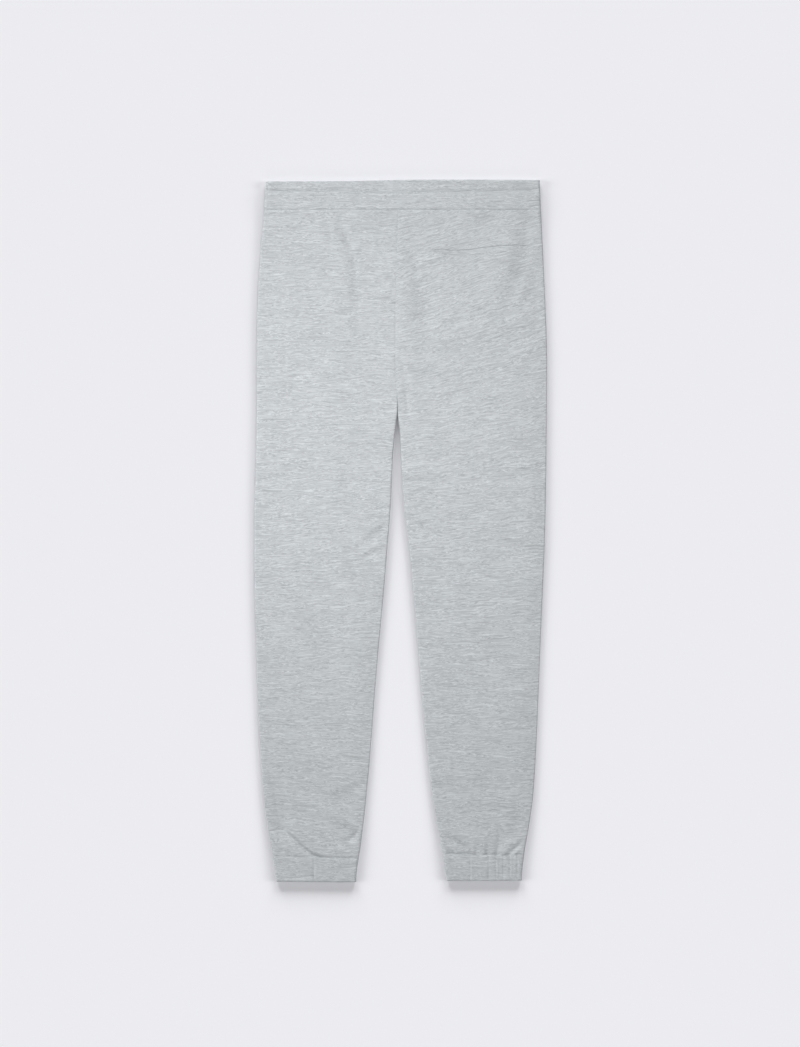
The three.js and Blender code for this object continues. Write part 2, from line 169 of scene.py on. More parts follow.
SIDES = (
    (0, -196.2, 202.0), (29, -197.6, 203.0), (44, -198.6, 203.8), (102, -203.6, 206.5),
    (174, -207.7, 209.8), (247, -209.0, 212.3), (327, -209.1, 212.2), (392, -210.2, 211.6),
    (465, -212.2, 210.6), (537, -212.5, 208.9), (610, -211.8, 205.8), (682, -209.7, 202.7),
    (755, -207.3, 199.8), (828, -203.8, 196.6), (900, -198.4, 191.8), (944, -192.4, 185.6),
    (973, -187.0, 180.4), (985, -185.2, 178.8), (1002, -182.8, 176.8), (1020, -180.6, 176.0),
)
CENTRE_SEAM = ((44, -4.0), (154, -6.9), (192, -7.6), (286, -7.0), (327, -4.0))
INSIDE_LEGS = (
    (327, -4.0, -4.0), (338, -4.9, -4.3), (347, -6.1, -3.5), (356, -7.2, -2.2), (363, -7.9, -1.2),
    (392, -10.8, 0.4), (428, -12.8, 1.6), (465, -14.2, 4.2), (537, -19.6, 12.8), (610, -25.6, 19.7),
    (682, -32.3, 25.8), (755, -38.4, 31.8), (828, -43.8, 38.8), (900, -50.3, 47.4),
    (944, -55.2, 54.8), (973, -59.0, 60.2), (985, -60.8, 62.0), (1002, -63.6, 64.4),
    (1020, -64.6, 67.3),
)
LOFT = (
    (44, 3.9, 7.2), (70, 3.2, 6.3), (110, 2.8, 5.8), (200, 2.6, 5.4), (500, 2.6, 5.3),
    (900, 2.6, 5.5), (950, 3.1, 6.3), (985, 3.8, 7.2),
)
WAIST_EDGE = ((-197, 2.2), (-56, 1.5), (-25, 0.6), (0, 0.0), (203, 0.0))
POCKET_MOUTH = ((45.4, 101.2), (97.6, 101.0), (117, 98.3), (169, 94.5), (184.8, 95.6))

# The pocket's welt and bag

WELT_HEIGHT = 9.5
WELT_WALL = 2.0
MOUTH_GAP = 0.3
BAG_LEFT, BAG_RIGHT, BAG_TOP, BAG_BOTTOM = 51.0, 181.0, 84.0, 236.0
BAG_CORNER, BAG_RISE, BAG_WALL = 22.0, 2.1, 1.0
BAG_RELIEF, BAG_EASE, BAG_CORNER_POWER = 0.9, 9.0, 5
BAG_GRID = (33, 30)
MOUTH_POINTS, WELT_POINTS = 33, 90
CUTTER_FLOOR, CUTTER_HEIGHT = 2.6, 9.0
WELT_FOLD_ROWS = (0, 0.2, 0.5, 1.0, 1.8)
WELT_MIDDLE_ROWS = (3.2, 8.4, 6)
WELT_LAST_ROW = 9.1


class Leg(Enum):
    """The wearer's leg that a piece belongs to."""

    LEFT = "left"
    RIGHT = "right"

    @property
    def column(self) -> int:
        """Column of the edge tables that holds this leg."""
        return 1 if self is Leg.LEFT else 2

    @property
    def inward(self) -> float:
        """Sign of X from the side seam towards the centre."""
        return 1.0 if self is Leg.LEFT else -1.0


class Layer(Enum):
    """The upper or the lower cloth of the garment as it lies."""

    BACK = "back"
    FRONT = "front"


@dataclass(frozen=True)
class CuffSeams:
    """Where a cuff begins and ends, at the side and at the inside of the leg."""

    seam_side: float
    seam_inside: float
    hem_side: float
    hem_inside: float

    def seam(self, inside_share: np.ndarray) -> np.ndarray:
        """Distance down of the cuff seam, where share 0 is the side of the leg and 1 its inside."""
        return lerp(self.seam_side, self.seam_inside, inside_share)

    def hem(self, inside_share: np.ndarray) -> np.ndarray:
        """Distance down of the cuff hem, where share 0 is the side of the leg and 1 its inside."""
        return lerp(self.hem_side, self.hem_inside, inside_share)


CUFF_SEAMS = {
    Leg.LEFT: CuffSeams(981.8, 985.2, 1018.6, LENGTH),
    Leg.RIGHT: CuffSeams(980.8, 978.8, 1017.2, 1017.4),
}


@dataclass(frozen=True)
class Fold:
    """A soft trough, or a ridge where depth is positive, along a line of points.

    Each point is a place across, a place down and the depth there. Width is the fold's reach to the
    right of the line as it is walked, and other to the left of it. Heap is the share of the depth that
    the cloth heaps up beside a trough, on the side of width.
    """

    points: tuple[tuple[float, float, float], ...]
    width: float
    other: float
    heap: float = 0.0

    def height(self, x: np.ndarray, down: np.ndarray) -> np.ndarray:
        """How far the fold lifts or sinks the cloth.

        Args:
            x: Places across.
            down: Places down.

        Returns:
            Height at each place.
        """
        x, down = np.broadcast_arrays(x, down)
        nearest = np.full(x.shape, np.inf)
        beside, depth = np.zeros(x.shape), np.zeros(x.shape)
        for (x0, down0, depth0), (x1, down1, depth1) in zip(self.points, self.points[1:]):
            run_x, run_down = x1 - x0, down1 - down0
            length = math.hypot(run_x, run_down)
            from_x, from_down = x - x0, down - down0
            share = np.clip((from_x * run_x + from_down * run_down) / length**2, 0, 1)
            away = np.hypot(from_x - share * run_x, from_down - share * run_down)
            closer = away < nearest
            nearest = np.where(closer, away, nearest)
            beside = np.where(closer, (from_down * run_x - from_x * run_down) / length, beside)
            depth = np.where(closer, lerp(depth0, depth1, share), depth)
        sine = np.clip(beside / np.maximum(nearest, 1e-6), -1, 1)
        reach = (self.width + self.other) / 2 + sine * (self.width - self.other) / 2
        past_end = np.sqrt(np.maximum(nearest**2 - beside**2, 0))
        heaped = bump(beside - HEAP_AWAY * self.width, self.width) * bump(past_end, self.width)
        return depth * (bump(nearest, reach) - self.heap * heaped)


# Creases that show on the upper cloth. Each is walked so that its shaded flank is on its right.
BACK_FOLDS = (
    # Left of the seat
    Fold(((-97, 46, 0), (-90, 60, -0.3), (-80, 82, -0.3), (-69, 110, -0.4), (-64, 160, -0.4),
          (-60, 240, 0)), 20, 6),
    Fold(((-110, 50, 0.2), (-102, 62, 1.6), (-92, 84, 2.1), (-82, 112, 2.2), (-79, 160, 1.9),
          (-77, 200, 1.3), (-74, 270, 0)), 34, 10),
    Fold(((-95, 46, -0.2), (-88, 60, -1.5), (-78, 80, -1.8), (-68, 106, -1.8), (-64, 140, -1.6),
          (-62, 185, -1.0), (-60, 240, 0)), 9, 4, 0.1),
    Fold(((-112, 46, -0.2), (-107, 62, -1.6), (-101, 84, -1.2), (-96, 112, 0)), 7, 4, 0.6),
    # Centre of the seat
    Fold(((-14, 42, -0.9), (-9, 58, -0.8), (-4, 80, 0)), 5, 6, 0.3),
    Fold(((-10, 56, 0), (-6, 90, 1.5), (2, 116, 2.1), (8, 145, 2.2), (13, 175, 1.8), (13, 230, 1.1),
          (8, 310, 0)), 30, 14),
    Fold(((8, 66, 0), (14, 93, -1.0), (22, 116, -1.5), (28, 145, -1.6), (33, 175, -1.4), (33, 230, -0.8),
          (28, 290, 0)), 14, 26, 0.35),
    # Right of the seat
    Fold(((168, 48, 0.2), (166, 66, 1.0), (160, 93, 1.4), (149, 134, 1.4), (138, 172, 0.9),
          (128, 215, 0)), 30, 14),
    Fold(((188, 46, -0.5), (188, 60, -1.3), (184, 93, -1.6), (173, 134, -1.5), (161, 172, -1.1),
          (150, 215, 0)), 16, 9, 0.5),
    Fold(((197, 60, 0), (194, 80, 0.8), (184, 145, 0.8), (176, 180, 0)), 7, 8),
    # Above the fork
    Fold(((4, 270, 0), (8, 290, -1.5), (9, 306, -0.7), (8, 320, -1.0), (10, 336, -1.6),
          (14, 354, 0)), 5, 5, 0.3),
    Fold(((-15, 346, 0), (-11, 320, -0.8), (-9, 288, 0)), 6, 6),
    # Inside of the legs
    Fold(((104, 430, 0), (70, 440, -1.0), (50, 441, -1.6), (26, 438, -2.0), (4, 436, -1.9),
          (0, 436, -1.5)), 8, 5, 0.5),
    Fold(((-14, 499, -1.0), (-30, 509, -1.9), (-46, 521, -1.6), (-66, 536, 0)), 6, 11, 0.6),
    Fold(((-20, 533, -1.0), (-38, 541, -1.6), (-56, 551, -1.0), (-72, 557, 0)), 6, 9, 0.6),
    Fold(((-24, 566, -0.7), (-42, 564, -0.8), (-60, 562, 0)), 5, 5, 0.3),
    Fold(((66, 516, 0), (40, 510, -0.9), (26, 505, -1.3), (8, 491, -1.4)), 7, 5, 0.5),
    Fold(((80, 646, 0), (62, 630, -0.8), (48, 615, -1.3), (32, 603, -1.2), (16, 592, -0.8)), 6, 6, 0.6),
    Fold(((118, 803, 0), (104, 796, -1.3), (90, 791, -1.3), (72, 786, 0)), 7, 7, 0.4),
    # Long rolls of the legs
    Fold(((186, 180, 0), (189, 260, 1.2), (189, 400, 1.5), (186, 540, 1.7), (180, 680, 1.9),
          (174, 820, 1.9), (168, 900, 1.2), (162, 950, 0)), 48, 14),
    Fold(((-32, 440, 0), (-38, 520, 0.8), (-48, 640, 1.2), (-62, 780, 1.2), (-70, 860, 0.8),
          (-74, 900, 0)), 38, 13),
    # Above the left cuff
    Fold(((-188, 836, 0), (-182, 880, -2.1), (-174, 920, -2.6), (-168, 946, -1.2)), 9, 11, 0.2),
    Fold(((-56, 884, -1.1), (-80, 893, -1.4), (-104, 902, -1.0), (-122, 908, 0)), 11, 9, 0.5),
    Fold(((-97, 985.5, 0), (-107, 985.5, -1.1), (-120, 984, -2.3), (-130, 979, -2.2), (-139, 973.5, -2.0),
          (-154, 958.5, -2.1), (-166, 949, -2.0), (-178, 940, -1.2), (-186, 930, 0)), 3.4, 5, 0.3),
    Fold(((-112, 974, 0), (-128, 967, 1.1), (-150, 949, 1.2), (-170, 932, 0)), 8, 8),
    Fold(((-178, 958, 0.4), (-166, 970, 0.8), (-150, 981, 0.5)), 7, 8),
    Fold(((-50, 961, -0.9), (-64, 955, -1.5), (-84, 944, -1.8), (-104, 931, -1.3),
          (-120, 918, 0)), 9, 8, 0.6),
    Fold(((-54, 938, -1.1), (-66, 951, -1.1), (-86, 968, 0)), 5, 6, 0.3),
    # Above the right cuff
    Fold(((97, 981, -1.5), (92, 971, -2.1), (83, 963.5, -2.1), (74, 958, -1.7), (60, 952, -1.4),
          (54, 950, -0.5)), 5, 5, 0.3),
    Fold(((74, 977, -1.5), (66, 970, -1.5), (58, 965, -0.9)), 2.8, 4, 0.2),
    Fold(((86, 955, 0.5), (104, 969, 0.8), (108, 981, 0.4)), 6, 6),
    Fold(((121, 954, 0.4), (117, 980, 0.9)), 5, 5),
    Fold(((150, 922, 0), (145, 945, -0.7), (142, 962, -1.5), (139.5, 981, -1.3)), 4, 6, 0.2),
    Fold(((160, 955, 0.5), (148, 980, 1.0)), 5, 5),
    Fold(((187, 948, 0), (179, 958.5, -1.0), (173, 965, -1.3), (164, 972, -1.4),
          (155, 981, -1.1)), 4, 4.5, 0.2),
    Fold(((172, 884, 0), (170, 915, -1.3), (166, 938, -1.3), (160, 958, 0)), 10, 9, 0.4),
    Fold(((177, 969, 0.5), (164, 979, 0.9)), 3, 3),
    Fold(((180, 970, -0.8), (170, 980, -1.0)), 3, 3),
    Fold(((128.5, 958, 0), (127, 970, -0.7), (126, 981, -1.0)), 3, 3),
    Fold(((110.5, 962, 0), (109, 972, -0.6), (108, 981, -0.8)), 3, 3),
)

# Creases of the lower cloth, plainer, as nothing of it shows
FRONT_FOLDS = tuple(
    Fold(((x0, down0, FRONT_RIDGE), (x1, down1, FRONT_RIDGE)), reach, reach)
    for x0, down0, x1, down1, reach in (
        (-150, 60, -138, 130, 12),
        (96, 52, 88, 120, 12),
        (-34, 470, -84, 484, 10),
        (30, 540, 76, 552, 10),
        (-120, 905, -96, 950, 10),
        (112, 905, 128, 955, 10),
    )
)

# Direction of the marl on each leg: how steeply its streaks climb to the right, in degrees
RIGHT_TILT = ((44, 14.0), (160, 16.0), (260, 12.0), (360, 8.0), (520, 4.0), (700, 1.0), (1020, 0.0))
LEFT_TILT = ((44, 0.0), (300, 1.0), (520, 3.0), (700, 2.0), (900, -4.0), (1020, 0.0))


def lerp(low: Numbers, high: Numbers, share: Numbers) -> Numbers:
    """Value a share of the way from low to high.

    Args:
        low: Value at share 0.
        high: Value at share 1.
        share: Share of the way.

    Returns:
        The value, or an array of them.
    """
    return low + (high - low) * share


def smoothstep(at: np.ndarray, low: float, high: float) -> np.ndarray:
    """Eases from 0 at low to 1 at high.

    Args:
        at: Places.
        low: Where it begins.
        high: Where it ends.

    Returns:
        Value at each place.
    """
    share = np.clip((at - low) / (high - low), 0, 1)
    return share * share * (3 - 2 * share)


def bump(at: np.ndarray, reach: float) -> np.ndarray:
    """A soft bump, 1 at 0 and fading within a reach on both sides.

    Args:
        at: Distances from its middle.
        reach: Its half width.

    Returns:
        Value at each distance.
    """
    return np.exp(-((at / reach) ** 2))


def dips(away: np.ndarray, parts: Sequence[tuple[float, float, float]]) -> np.ndarray:
    """Sum of soft dips beside a seam or line.

    Args:
        away: Distances from it.
        parts: Place, depth and reach of each.

    Returns:
        Depth at each distance.
    """
    return sum(depth * bump(away - at, reach) for at, depth, reach in parts)


def rolled_edge(away: np.ndarray, reach: float, depth: float) -> np.ndarray:
    """How far a rounded edge falls away, in a quarter of an ellipse.

    Args:
        away: Distances from the edge.
        reach: How far from the edge the rounding begins.
        depth: How far the edge itself falls.

    Returns:
        Depth at each distance.
    """
    level = 1 - np.clip(away, 0, reach) / reach
    return depth * (1 - np.sqrt(np.clip(1 - level**2, 0, 1)))


def plateau(at: np.ndarray, low: float, high: float, ease: float) -> np.ndarray:
    """1 between two places and 0 beyond them, with an easing round each of them.

    Args:
        at: Places.
        low: Where it begins.
        high: Where it ends.
        ease: How far each end eases to both sides.

    Returns:
        Value at each place.
    """
    return smoothstep(at, low - ease, low + ease) * smoothstep(-at, -high - ease, -high + ease)


def curve(table: Sequence[Sequence[float]], at: np.ndarray, column: int = 1) -> np.ndarray:
    """Smooth curve through one column of a table, level beyond its ends.

    Args:
        table: Rows of a place and the values there.
        at: Places.
        column: Column of the values.

    Returns:
        Value at each place.
    """
    rows = np.array(table, float)
    places, values = rows[:, 0], rows[:, column]
    at = np.clip(at, places[0], places[-1])
    last = len(places) - 1
    i1 = np.clip(np.searchsorted(places, at, side="right"), 1, last)
    i0 = i1 - 1
    t0, t1 = places[i0], places[i1]
    before = np.where(i0 == 0, i1, i0 - 1)
    after = np.where(i1 == last, i0, np.minimum(i1 + 1, last))
    half = (t1 - t0) / 2
    w0 = half / (t0 - places[before])
    w1 = half / (places[after] - t1)
    p = (at - t0) / (t1 - t0)
    p2, p3 = p * p, p * p * p
    terms = (
        (-w0 * p3 + 2 * w0 * p2 - w0 * p) * values[before],
        ((1 + w0) * p3 + (-1.5 - 2 * w0) * p2 + (-0.5 + w0) * p + 1) * values[i0],
        ((-1 - w1) * p3 + (1.5 + w1) * p2 + 0.5 * p) * values[i1],
        (w1 * p3 - w1 * p2) * values[after],
    )
    return sum(terms)


def waves(at: np.ndarray, parts: Sequence[tuple[float, float, float]]) -> np.ndarray:
    """Uneven ripples: a sum of sines.

    Args:
        at: Places.
        parts: Wave length, height and phase of each.

    Returns:
        Height at each place.
    """
    return sum(height * np.sin(2 * math.pi * at / length + phase) for length, height, phase in parts)


def place(x: np.ndarray, down: np.ndarray, z: np.ndarray) -> np.ndarray:
    """Points in the row frame, in metres.

    Args:
        x: Places across.
        down: Places down.
        z: Heights above the surface.

    Returns:
        Array whose last axis is X, Y, Z.
    """
    x, down, z = np.broadcast_arrays(x, down, z)
    return np.stack((x, LENGTH / 2 - down, z), axis=-1) * MM


def side_edge(leg: Leg, down: np.ndarray) -> np.ndarray:
    """X of a leg's side seam at places down.

    Args:
        leg: The leg.
        down: Places down.

    Returns:
        X at each place.
    """
    return curve(SIDES, down, leg.column)


def inside_edge(leg: Leg, down: np.ndarray) -> np.ndarray:
    """X of a leg's edge at the centre seam, and below it at the inside leg seam.

    Args:
        leg: The leg.
        down: Places down.

    Returns:
        X at each place.
    """
    seam = np.where(down < CROTCH, curve(CENTRE_SEAM, down), curve(INSIDE_LEGS, down, leg.column))
    return seam - leg.inward * SEWN_GAP


def stitch_line(x: np.ndarray) -> np.ndarray:
    """Distance down of the stitches that part the two channels of the waistband.

    Args:
        x: Places across.

    Returns:
        Distance down at each place.
    """
    return STITCH_AT_ENDS + STITCH_BOW * (1 - (x / STITCH_HALF_WIDTH) ** 2)


def bag_relief(x: np.ndarray, down: np.ndarray) -> np.ndarray:
    """The low plateau that the pocket bag makes under the right back panel.

    Args:
        x: Places across.
        down: Places down.

    Returns:
        Height at each place.
    """
    across = plateau(x, BAG_LEFT, BAG_RIGHT, BAG_EASE)
    return BAG_RELIEF * across * plateau(down, BAG_TOP, BAG_BOTTOM, BAG_EASE)


def soft_wander(x: np.ndarray, down: np.ndarray) -> np.ndarray:
    """Broad, low unevenness of cloth that was smoothed by hand.

    Args:
        x: Places across.
        down: Places down.

    Returns:
        Height at each place.
    """
    slow = np.sin(x / 31 + 0.013 * down + 0.7) * np.sin(down / 57 - x / 90 + 0.4)
    quick = np.sin(x / 13 - down / 41 + 2.1) * np.sin(down / 19 + x / 37)
    return SLOW_WANDER * slow + QUICK_WANDER * quick


def least_height(x: np.ndarray, down: np.ndarray) -> np.ndarray:
    """Lowest place of the upper cloth's inner face, clear of the lower cloth and the pocket bag.

    Args:
        x: Places across.
        down: Places down.

    Returns:
        Height at each place.
    """
    return curve(LOFT, down, 1) + HALF_GAP + LAYER_CLEARANCE + BAG_CLEARANCE_SHARE * bag_relief(x, down)


def cloth_top(leg: Leg, x: np.ndarray, down: np.ndarray) -> np.ndarray:
    """Height of the upper cloth between its turned edges, with its creases.

    Args:
        leg: The leg.
        x: Places across.
        down: Places down.

    Returns:
        Height at each place.
    """
    side, inside = side_edge(leg, down), inside_edge(leg, down)
    edge, middle = curve(LOFT, down, 1), curve(LOFT, down, 2)
    drop = smoothstep(down, GAP_OPENS - CROTCH_DROP, GAP_OPENS)
    side_rise = smoothstep(np.abs(x - side), edge, edge + EDGE_ROLL)
    inside_rise = smoothstep(np.abs(x - inside), edge, edge + EDGE_ROLL)
    calm = smoothstep(np.abs(x - side), edge, edge + CALM_EDGE)
    calm = calm * lerp(1, smoothstep(np.abs(x - inside), edge, edge + CALM_EDGE), drop)
    folds = sum(fold.height(x, down) for fold in BACK_FOLDS)
    seam_dip = dips(x - inside, CENTRE_SEAM_DIPS) * (1 - drop)
    waist_dip = dips(down - WAIST_SEAM, WAIST_SEAM_DIPS)
    fading = 1 - smoothstep(down, WAIST_SEAM, WAIST_SEAM + WAIST_GATHERS_REACH)
    gathers = waves(x, WAIST_GATHERS) * fading
    form = lerp(2 * edge, middle, side_rise * lerp(1, inside_rise, drop))
    relief = folds + bag_relief(x, down) + soft_wander(x, down) + gathers
    return form + calm * relief - seam_dip - waist_dip


def linked(name: str, data: bpy.types.ID) -> bpy.types.Object:
    """Makes an object and links it to the scene.

    Args:
        name: Its name.
        data: Its mesh, light or camera.

    Returns:
        The object.
    """
    made = bpy.data.objects.new(name, data)
    bpy.context.scene.collection.objects.link(made)
    return made


@dataclass
class ClothWall:
    """A closed wall of cloth between an outer and an inner grid of points.

    The grain is the outer grid's place on the marl, which shifts by rim_grain across a rim.
    """

    outer: np.ndarray
    inner: np.ndarray
    grain: np.ndarray
    ring: bool = False
    rim_grain: float = 0.004

    def build(self, name: str) -> bpy.types.Object:
        """Makes the mesh object, with smooth shading and a grain map in metres.

        Args:
            name: Name of the object.

        Returns:
            The object, linked to the scene.
        """
        rows, columns = self.outer.shape[:2]
        points = np.concatenate((self.outer.reshape(-1, 3), self.inner.reshape(-1, 3)))
        r, c = np.meshgrid(np.arange(rows - 1), np.arange(columns - (not self.ring)), indexing="ij")
        shell = [(r, c, False), (r + 1, c, False), (r + 1, c + 1, False), (r, c + 1, False)]
        lining = [(row, column, True) for row, column, _ in reversed(shell)]
        sides = [shell, lining, *self._rims()]
        quads = np.concatenate([self._quads(corners) for corners in sides])
        grain = np.concatenate([self._grain(corners) for corners in sides])
        if self._volume(points, quads) < 0:
            quads, grain = quads[:, ::-1], grain[:, ::-1]
        mesh = bpy.data.meshes.new(name)
        mesh.from_pydata(points.tolist(), [], quads.tolist())
        mesh.uv_layers.new(name="grain").data.foreach_set("uv", grain.reshape(-1).astype(np.float32))
        mesh.shade_smooth()
        mesh.set_sharp_from_angle(angle=SHARP_ANGLE)
        return linked(name, mesh)

    def _rims(self) -> list[Corners]:
        """Corners of the rims that join the two grids, at the ends and, unless it is a ring, at the sides.

        Returns:
            The corners of each rim.
        """
        rows, columns = self.outer.shape[:2]
        c = np.arange(columns - (not self.ring))
        top, low = np.zeros_like(c), np.full_like(c, rows - 1)
        rims = [
            [(top, c, False), (top, c + 1, False), (top, c + 1, True), (top, c, True)],
            [(low, c, False), (low, c, True), (low, c + 1, True), (low, c + 1, False)],
        ]
        if not self.ring:
            r = np.arange(rows - 1)
            first, last = np.zeros_like(r), np.full_like(r, columns - 1)
            rims.append([(r, first, False), (r, first, True), (r + 1, first, True), (r + 1, first, False)])
            rims.append([(r, last, False), (r + 1, last, False), (r + 1, last, True), (r, last, True)])
        return rims

    def _quads(self, corners: Corners) -> np.ndarray:
        """Point numbers of a set of faces.

        Args:
            corners: Their four corners.

        Returns:
            One row of four numbers for each face.
        """
        rows, columns = self.outer.shape[:2]
        index = [(row + inner * rows) * columns + column % columns for row, column, inner in corners]
        return np.stack([numbers.reshape(-1) for numbers in index], axis=1)

    def _grain(self, corners: Corners) -> np.ndarray:
        """Places of a set of faces on the grain map.

        Args:
            corners: Their four corners.

        Returns:
            Four places for each face.
        """
        shift = np.array((0.0, self.rim_grain))
        maps = [self.grain[row, column] + shift * inner for row, column, inner in corners]
        return np.stack([part.reshape(-1, 2) for part in maps], axis=1)

    @staticmethod
    def _volume(points: np.ndarray, quads: np.ndarray) -> float:
        """Six times the volume inside the faces, below 0 where they face inwards.

        Args:
            points: All points.
            quads: Point numbers of the faces.

        Returns:
            The volume.
        """
        a, b, c, d = (points[quads[:, k]] for k in range(4))
        first = np.einsum("ij,ij->i", a, np.cross(b, c)).sum()
        return float(first + np.einsum("ij,ij->i", a, np.cross(c, d)).sum())


def arc_lengths(points: np.ndarray) -> np.ndarray:
    """Length along each row of a grid of points, from its first column.

    Args:
        points: Grid of points.

    Returns:
        Length at each point.
    """
    steps = np.linalg.norm(np.diff(points, axis=1), axis=-1)
    return np.concatenate((np.zeros((len(points), 1)), np.cumsum(steps, axis=1)), axis=1)


class Tree:
    """Adds nodes to a node tree and links them."""

    def __init__(self, tree: bpy.types.NodeTree) -> None:
        """Wraps a node tree.

        Args:
            tree: The tree.
        """
        self.tree = tree

    def add(self, kind: str, inputs: dict | None = None, **settings: object) -> bpy.types.Node:
        """Adds a node.

        Args:
            kind: Its class name.
            inputs: Values or source sockets for its inputs, by name or number.
            settings: Its properties.

        Returns:
            The node.
        """
        node = self.tree.nodes.new(kind)
        for name, value in settings.items():
            setattr(node, name, value)
        for name, value in (inputs or {}).items():
            if isinstance(value, bpy.types.NodeSocket):
                self.tree.links.new(value, node.inputs[name])
            else:
                node.inputs[name].default_value = value
        return node

    def math(self, operation: str, *values: object, clamp: bool = False) -> bpy.types.NodeSocket:
        """Adds a maths node.

        Args:
            operation: Its operation.
            values: Values or sockets.
            clamp: Whether the result is kept from 0 to 1.

        Returns:
            Its output.
        """
        node = self.add("ShaderNodeMath", dict(enumerate(values)), operation=operation, use_clamp=clamp)
        return node.outputs[0]

    def scaled(self, vector: bpy.types.NodeSocket, scale: tuple[float, float]) -> bpy.types.NodeSocket:
        """Adds a vector multiplication.

        Args:
            vector: The vector.
            scale: Its factors across and along.

        Returns:
            The scaled vector.
        """
        node = self.add("ShaderNodeVectorMath", {0: vector, 1: (*scale, 0)}, operation="MULTIPLY")
        return node.outputs[0]

    def noise(
        self, vector: bpy.types.NodeSocket, detail: float, roughness: float = 0.5
    ) -> bpy.types.NodeSocket:
        """Adds a two-dimensional noise.

        Args:
            vector: Where it is read.
            detail: Its octaves.
            roughness: How strong the finer octaves are.

        Returns:
            Its value.
        """
        inputs = {"Vector": vector, "Scale": 1.0, "Detail": detail, "Roughness": roughness}
        return self.add("ShaderNodeTexNoise", inputs, noise_dimensions="2D").outputs["Fac"]


@dataclass(frozen=True)
class MarlPattern:
    """Scales of the marl across and along the cloth, and the strength of each part.

    Scales are in waves a metre, but those of the knit's wales and courses are in radians a metre.
    """

    wander: tuple[float, float] = (32, 34)
    wander_height: float = 0.008
    stagger: tuple[float, float] = (18, 260)
    stagger_length: float = 0.09
    streaks: tuple[float, float] = (122, 400)
    streak_roughness: float = 0.6
    fibres: tuple[float, float] = (380, 1100)
    fibre_strength: float = 0.7
    patches: tuple[float, float] = (20, 55)
    flecks: tuple[float, float] = (105, 700)
    fleck_start: float = 0.60
    fleck_strength: float = 1.2
    mean_tone: float = 0.53
    wales: float = 5200.0
    wale_height: float = 0.6
    courses: float = 6500.0
    streak_height: float = 2.0
    least_roughness: float = 0.86
    fibre_roughness: float = 0.08


def marl_group(pattern: MarlPattern) -> bpy.types.NodeTree:
    """Node group for marl jersey: streaks of darker and lighter fibre, and a knitted surface.

    Args:
        pattern: Scales and strengths of the marl.

    Returns:
        The group.
    """
    group = bpy.data.node_groups.new("marl jersey", "ShaderNodeTree")
    sockets = (
        ("Grain", "INPUT", "NodeSocketVector", None),
        ("Dark Fibre", "INPUT", "NodeSocketColor", (0.42, 0.45, 0.48, 1)),
        ("Light Fibre", "INPUT", "NodeSocketColor", (0.72, 0.74, 0.75, 1)),
        ("Contrast", "INPUT", "NodeSocketFloat", 1.5),
        ("Patchiness", "INPUT", "NodeSocketFloat", 0.15),
        ("Knit Depth", "INPUT", "NodeSocketFloat", 0.3),
        ("Base Color", "OUTPUT", "NodeSocketColor", None),
        ("Roughness", "OUTPUT", "NodeSocketFloat", None),
        ("Bump Height", "OUTPUT", "NodeSocketFloat", None),
    )
    for name, direction, kind, value in sockets:
        socket = group.interface.new_socket(name=name, in_out=direction, socket_type=kind)
        if value is not None:
            socket.default_value = value
    tree = Tree(group)
    given = tree.add("NodeGroupInput").outputs
    grain = given["Grain"]
    wander = tree.noise(tree.scaled(grain, pattern.wander), 1.0)
    lift = tree.math("MULTIPLY", tree.math("SUBTRACT", wander, 0.5), pattern.wander_height)
    stagger = tree.noise(tree.scaled(grain, pattern.stagger), 1.0)
    slide = tree.math("MULTIPLY", stagger, pattern.stagger_length)
    shift = tree.add("ShaderNodeCombineXYZ", {"X": slide, "Y": lift}).outputs[0]
    waved = tree.add("ShaderNodeVectorMath", {0: grain, 1: shift}, operation="ADD").outputs[0]
    streaks = tree.noise(tree.scaled(waved, pattern.streaks), 3.0, pattern.streak_roughness)
    fibres = tree.noise(tree.scaled(waved, pattern.fibres), 2.0)
    patches = tree.noise(tree.scaled(grain, pattern.patches), 2.0)
    flecks = tree.noise(tree.scaled(waved, pattern.flecks), 1.0)
    fleck = tree.math("SUBTRACT", flecks, pattern.fleck_start, clamp=True)
    fleck = tree.math("MULTIPLY", fleck, pattern.fleck_strength)
    total = tree.math("SUBTRACT", streaks, 0.5)
    total = tree.math("MULTIPLY_ADD", tree.math("SUBTRACT", fibres, 0.5), pattern.fibre_strength, total)
    total = tree.math("SUBTRACT", total, fleck)
    patch = tree.math("MULTIPLY", tree.math("SUBTRACT", patches, 0.5), given["Patchiness"])
    total = tree.math("ADD", total, patch)
    tone = tree.math("MULTIPLY_ADD", total, given["Contrast"], pattern.mean_tone, clamp=True)
    mixed = {"Factor": tone, "A": given["Dark Fibre"], "B": given["Light Fibre"]}
    colour = tree.add("ShaderNodeMix", mixed, data_type="RGBA")
    split = tree.add("ShaderNodeSeparateXYZ", {0: grain}).outputs
    wales = tree.math("SINE", tree.math("MULTIPLY", split["X"], pattern.wales))
    courses = tree.math("SINE", tree.math("MULTIPLY_ADD", split["Y"], pattern.courses, wales))
    knit = tree.math("MULTIPLY_ADD", wales, pattern.wale_height, courses)
    height = tree.math("MULTIPLY_ADD", knit, given["Knit Depth"], fibres)
    height = tree.math("MULTIPLY_ADD", streaks, pattern.streak_height, height)
    rough = tree.math("MULTIPLY_ADD", fibres, pattern.fibre_roughness, pattern.least_roughness)
    shown = {"Base Color": colour.outputs["Result"], "Roughness": rough, "Bump Height": height}
    tree.add("NodeGroupOutput", shown)
    return group


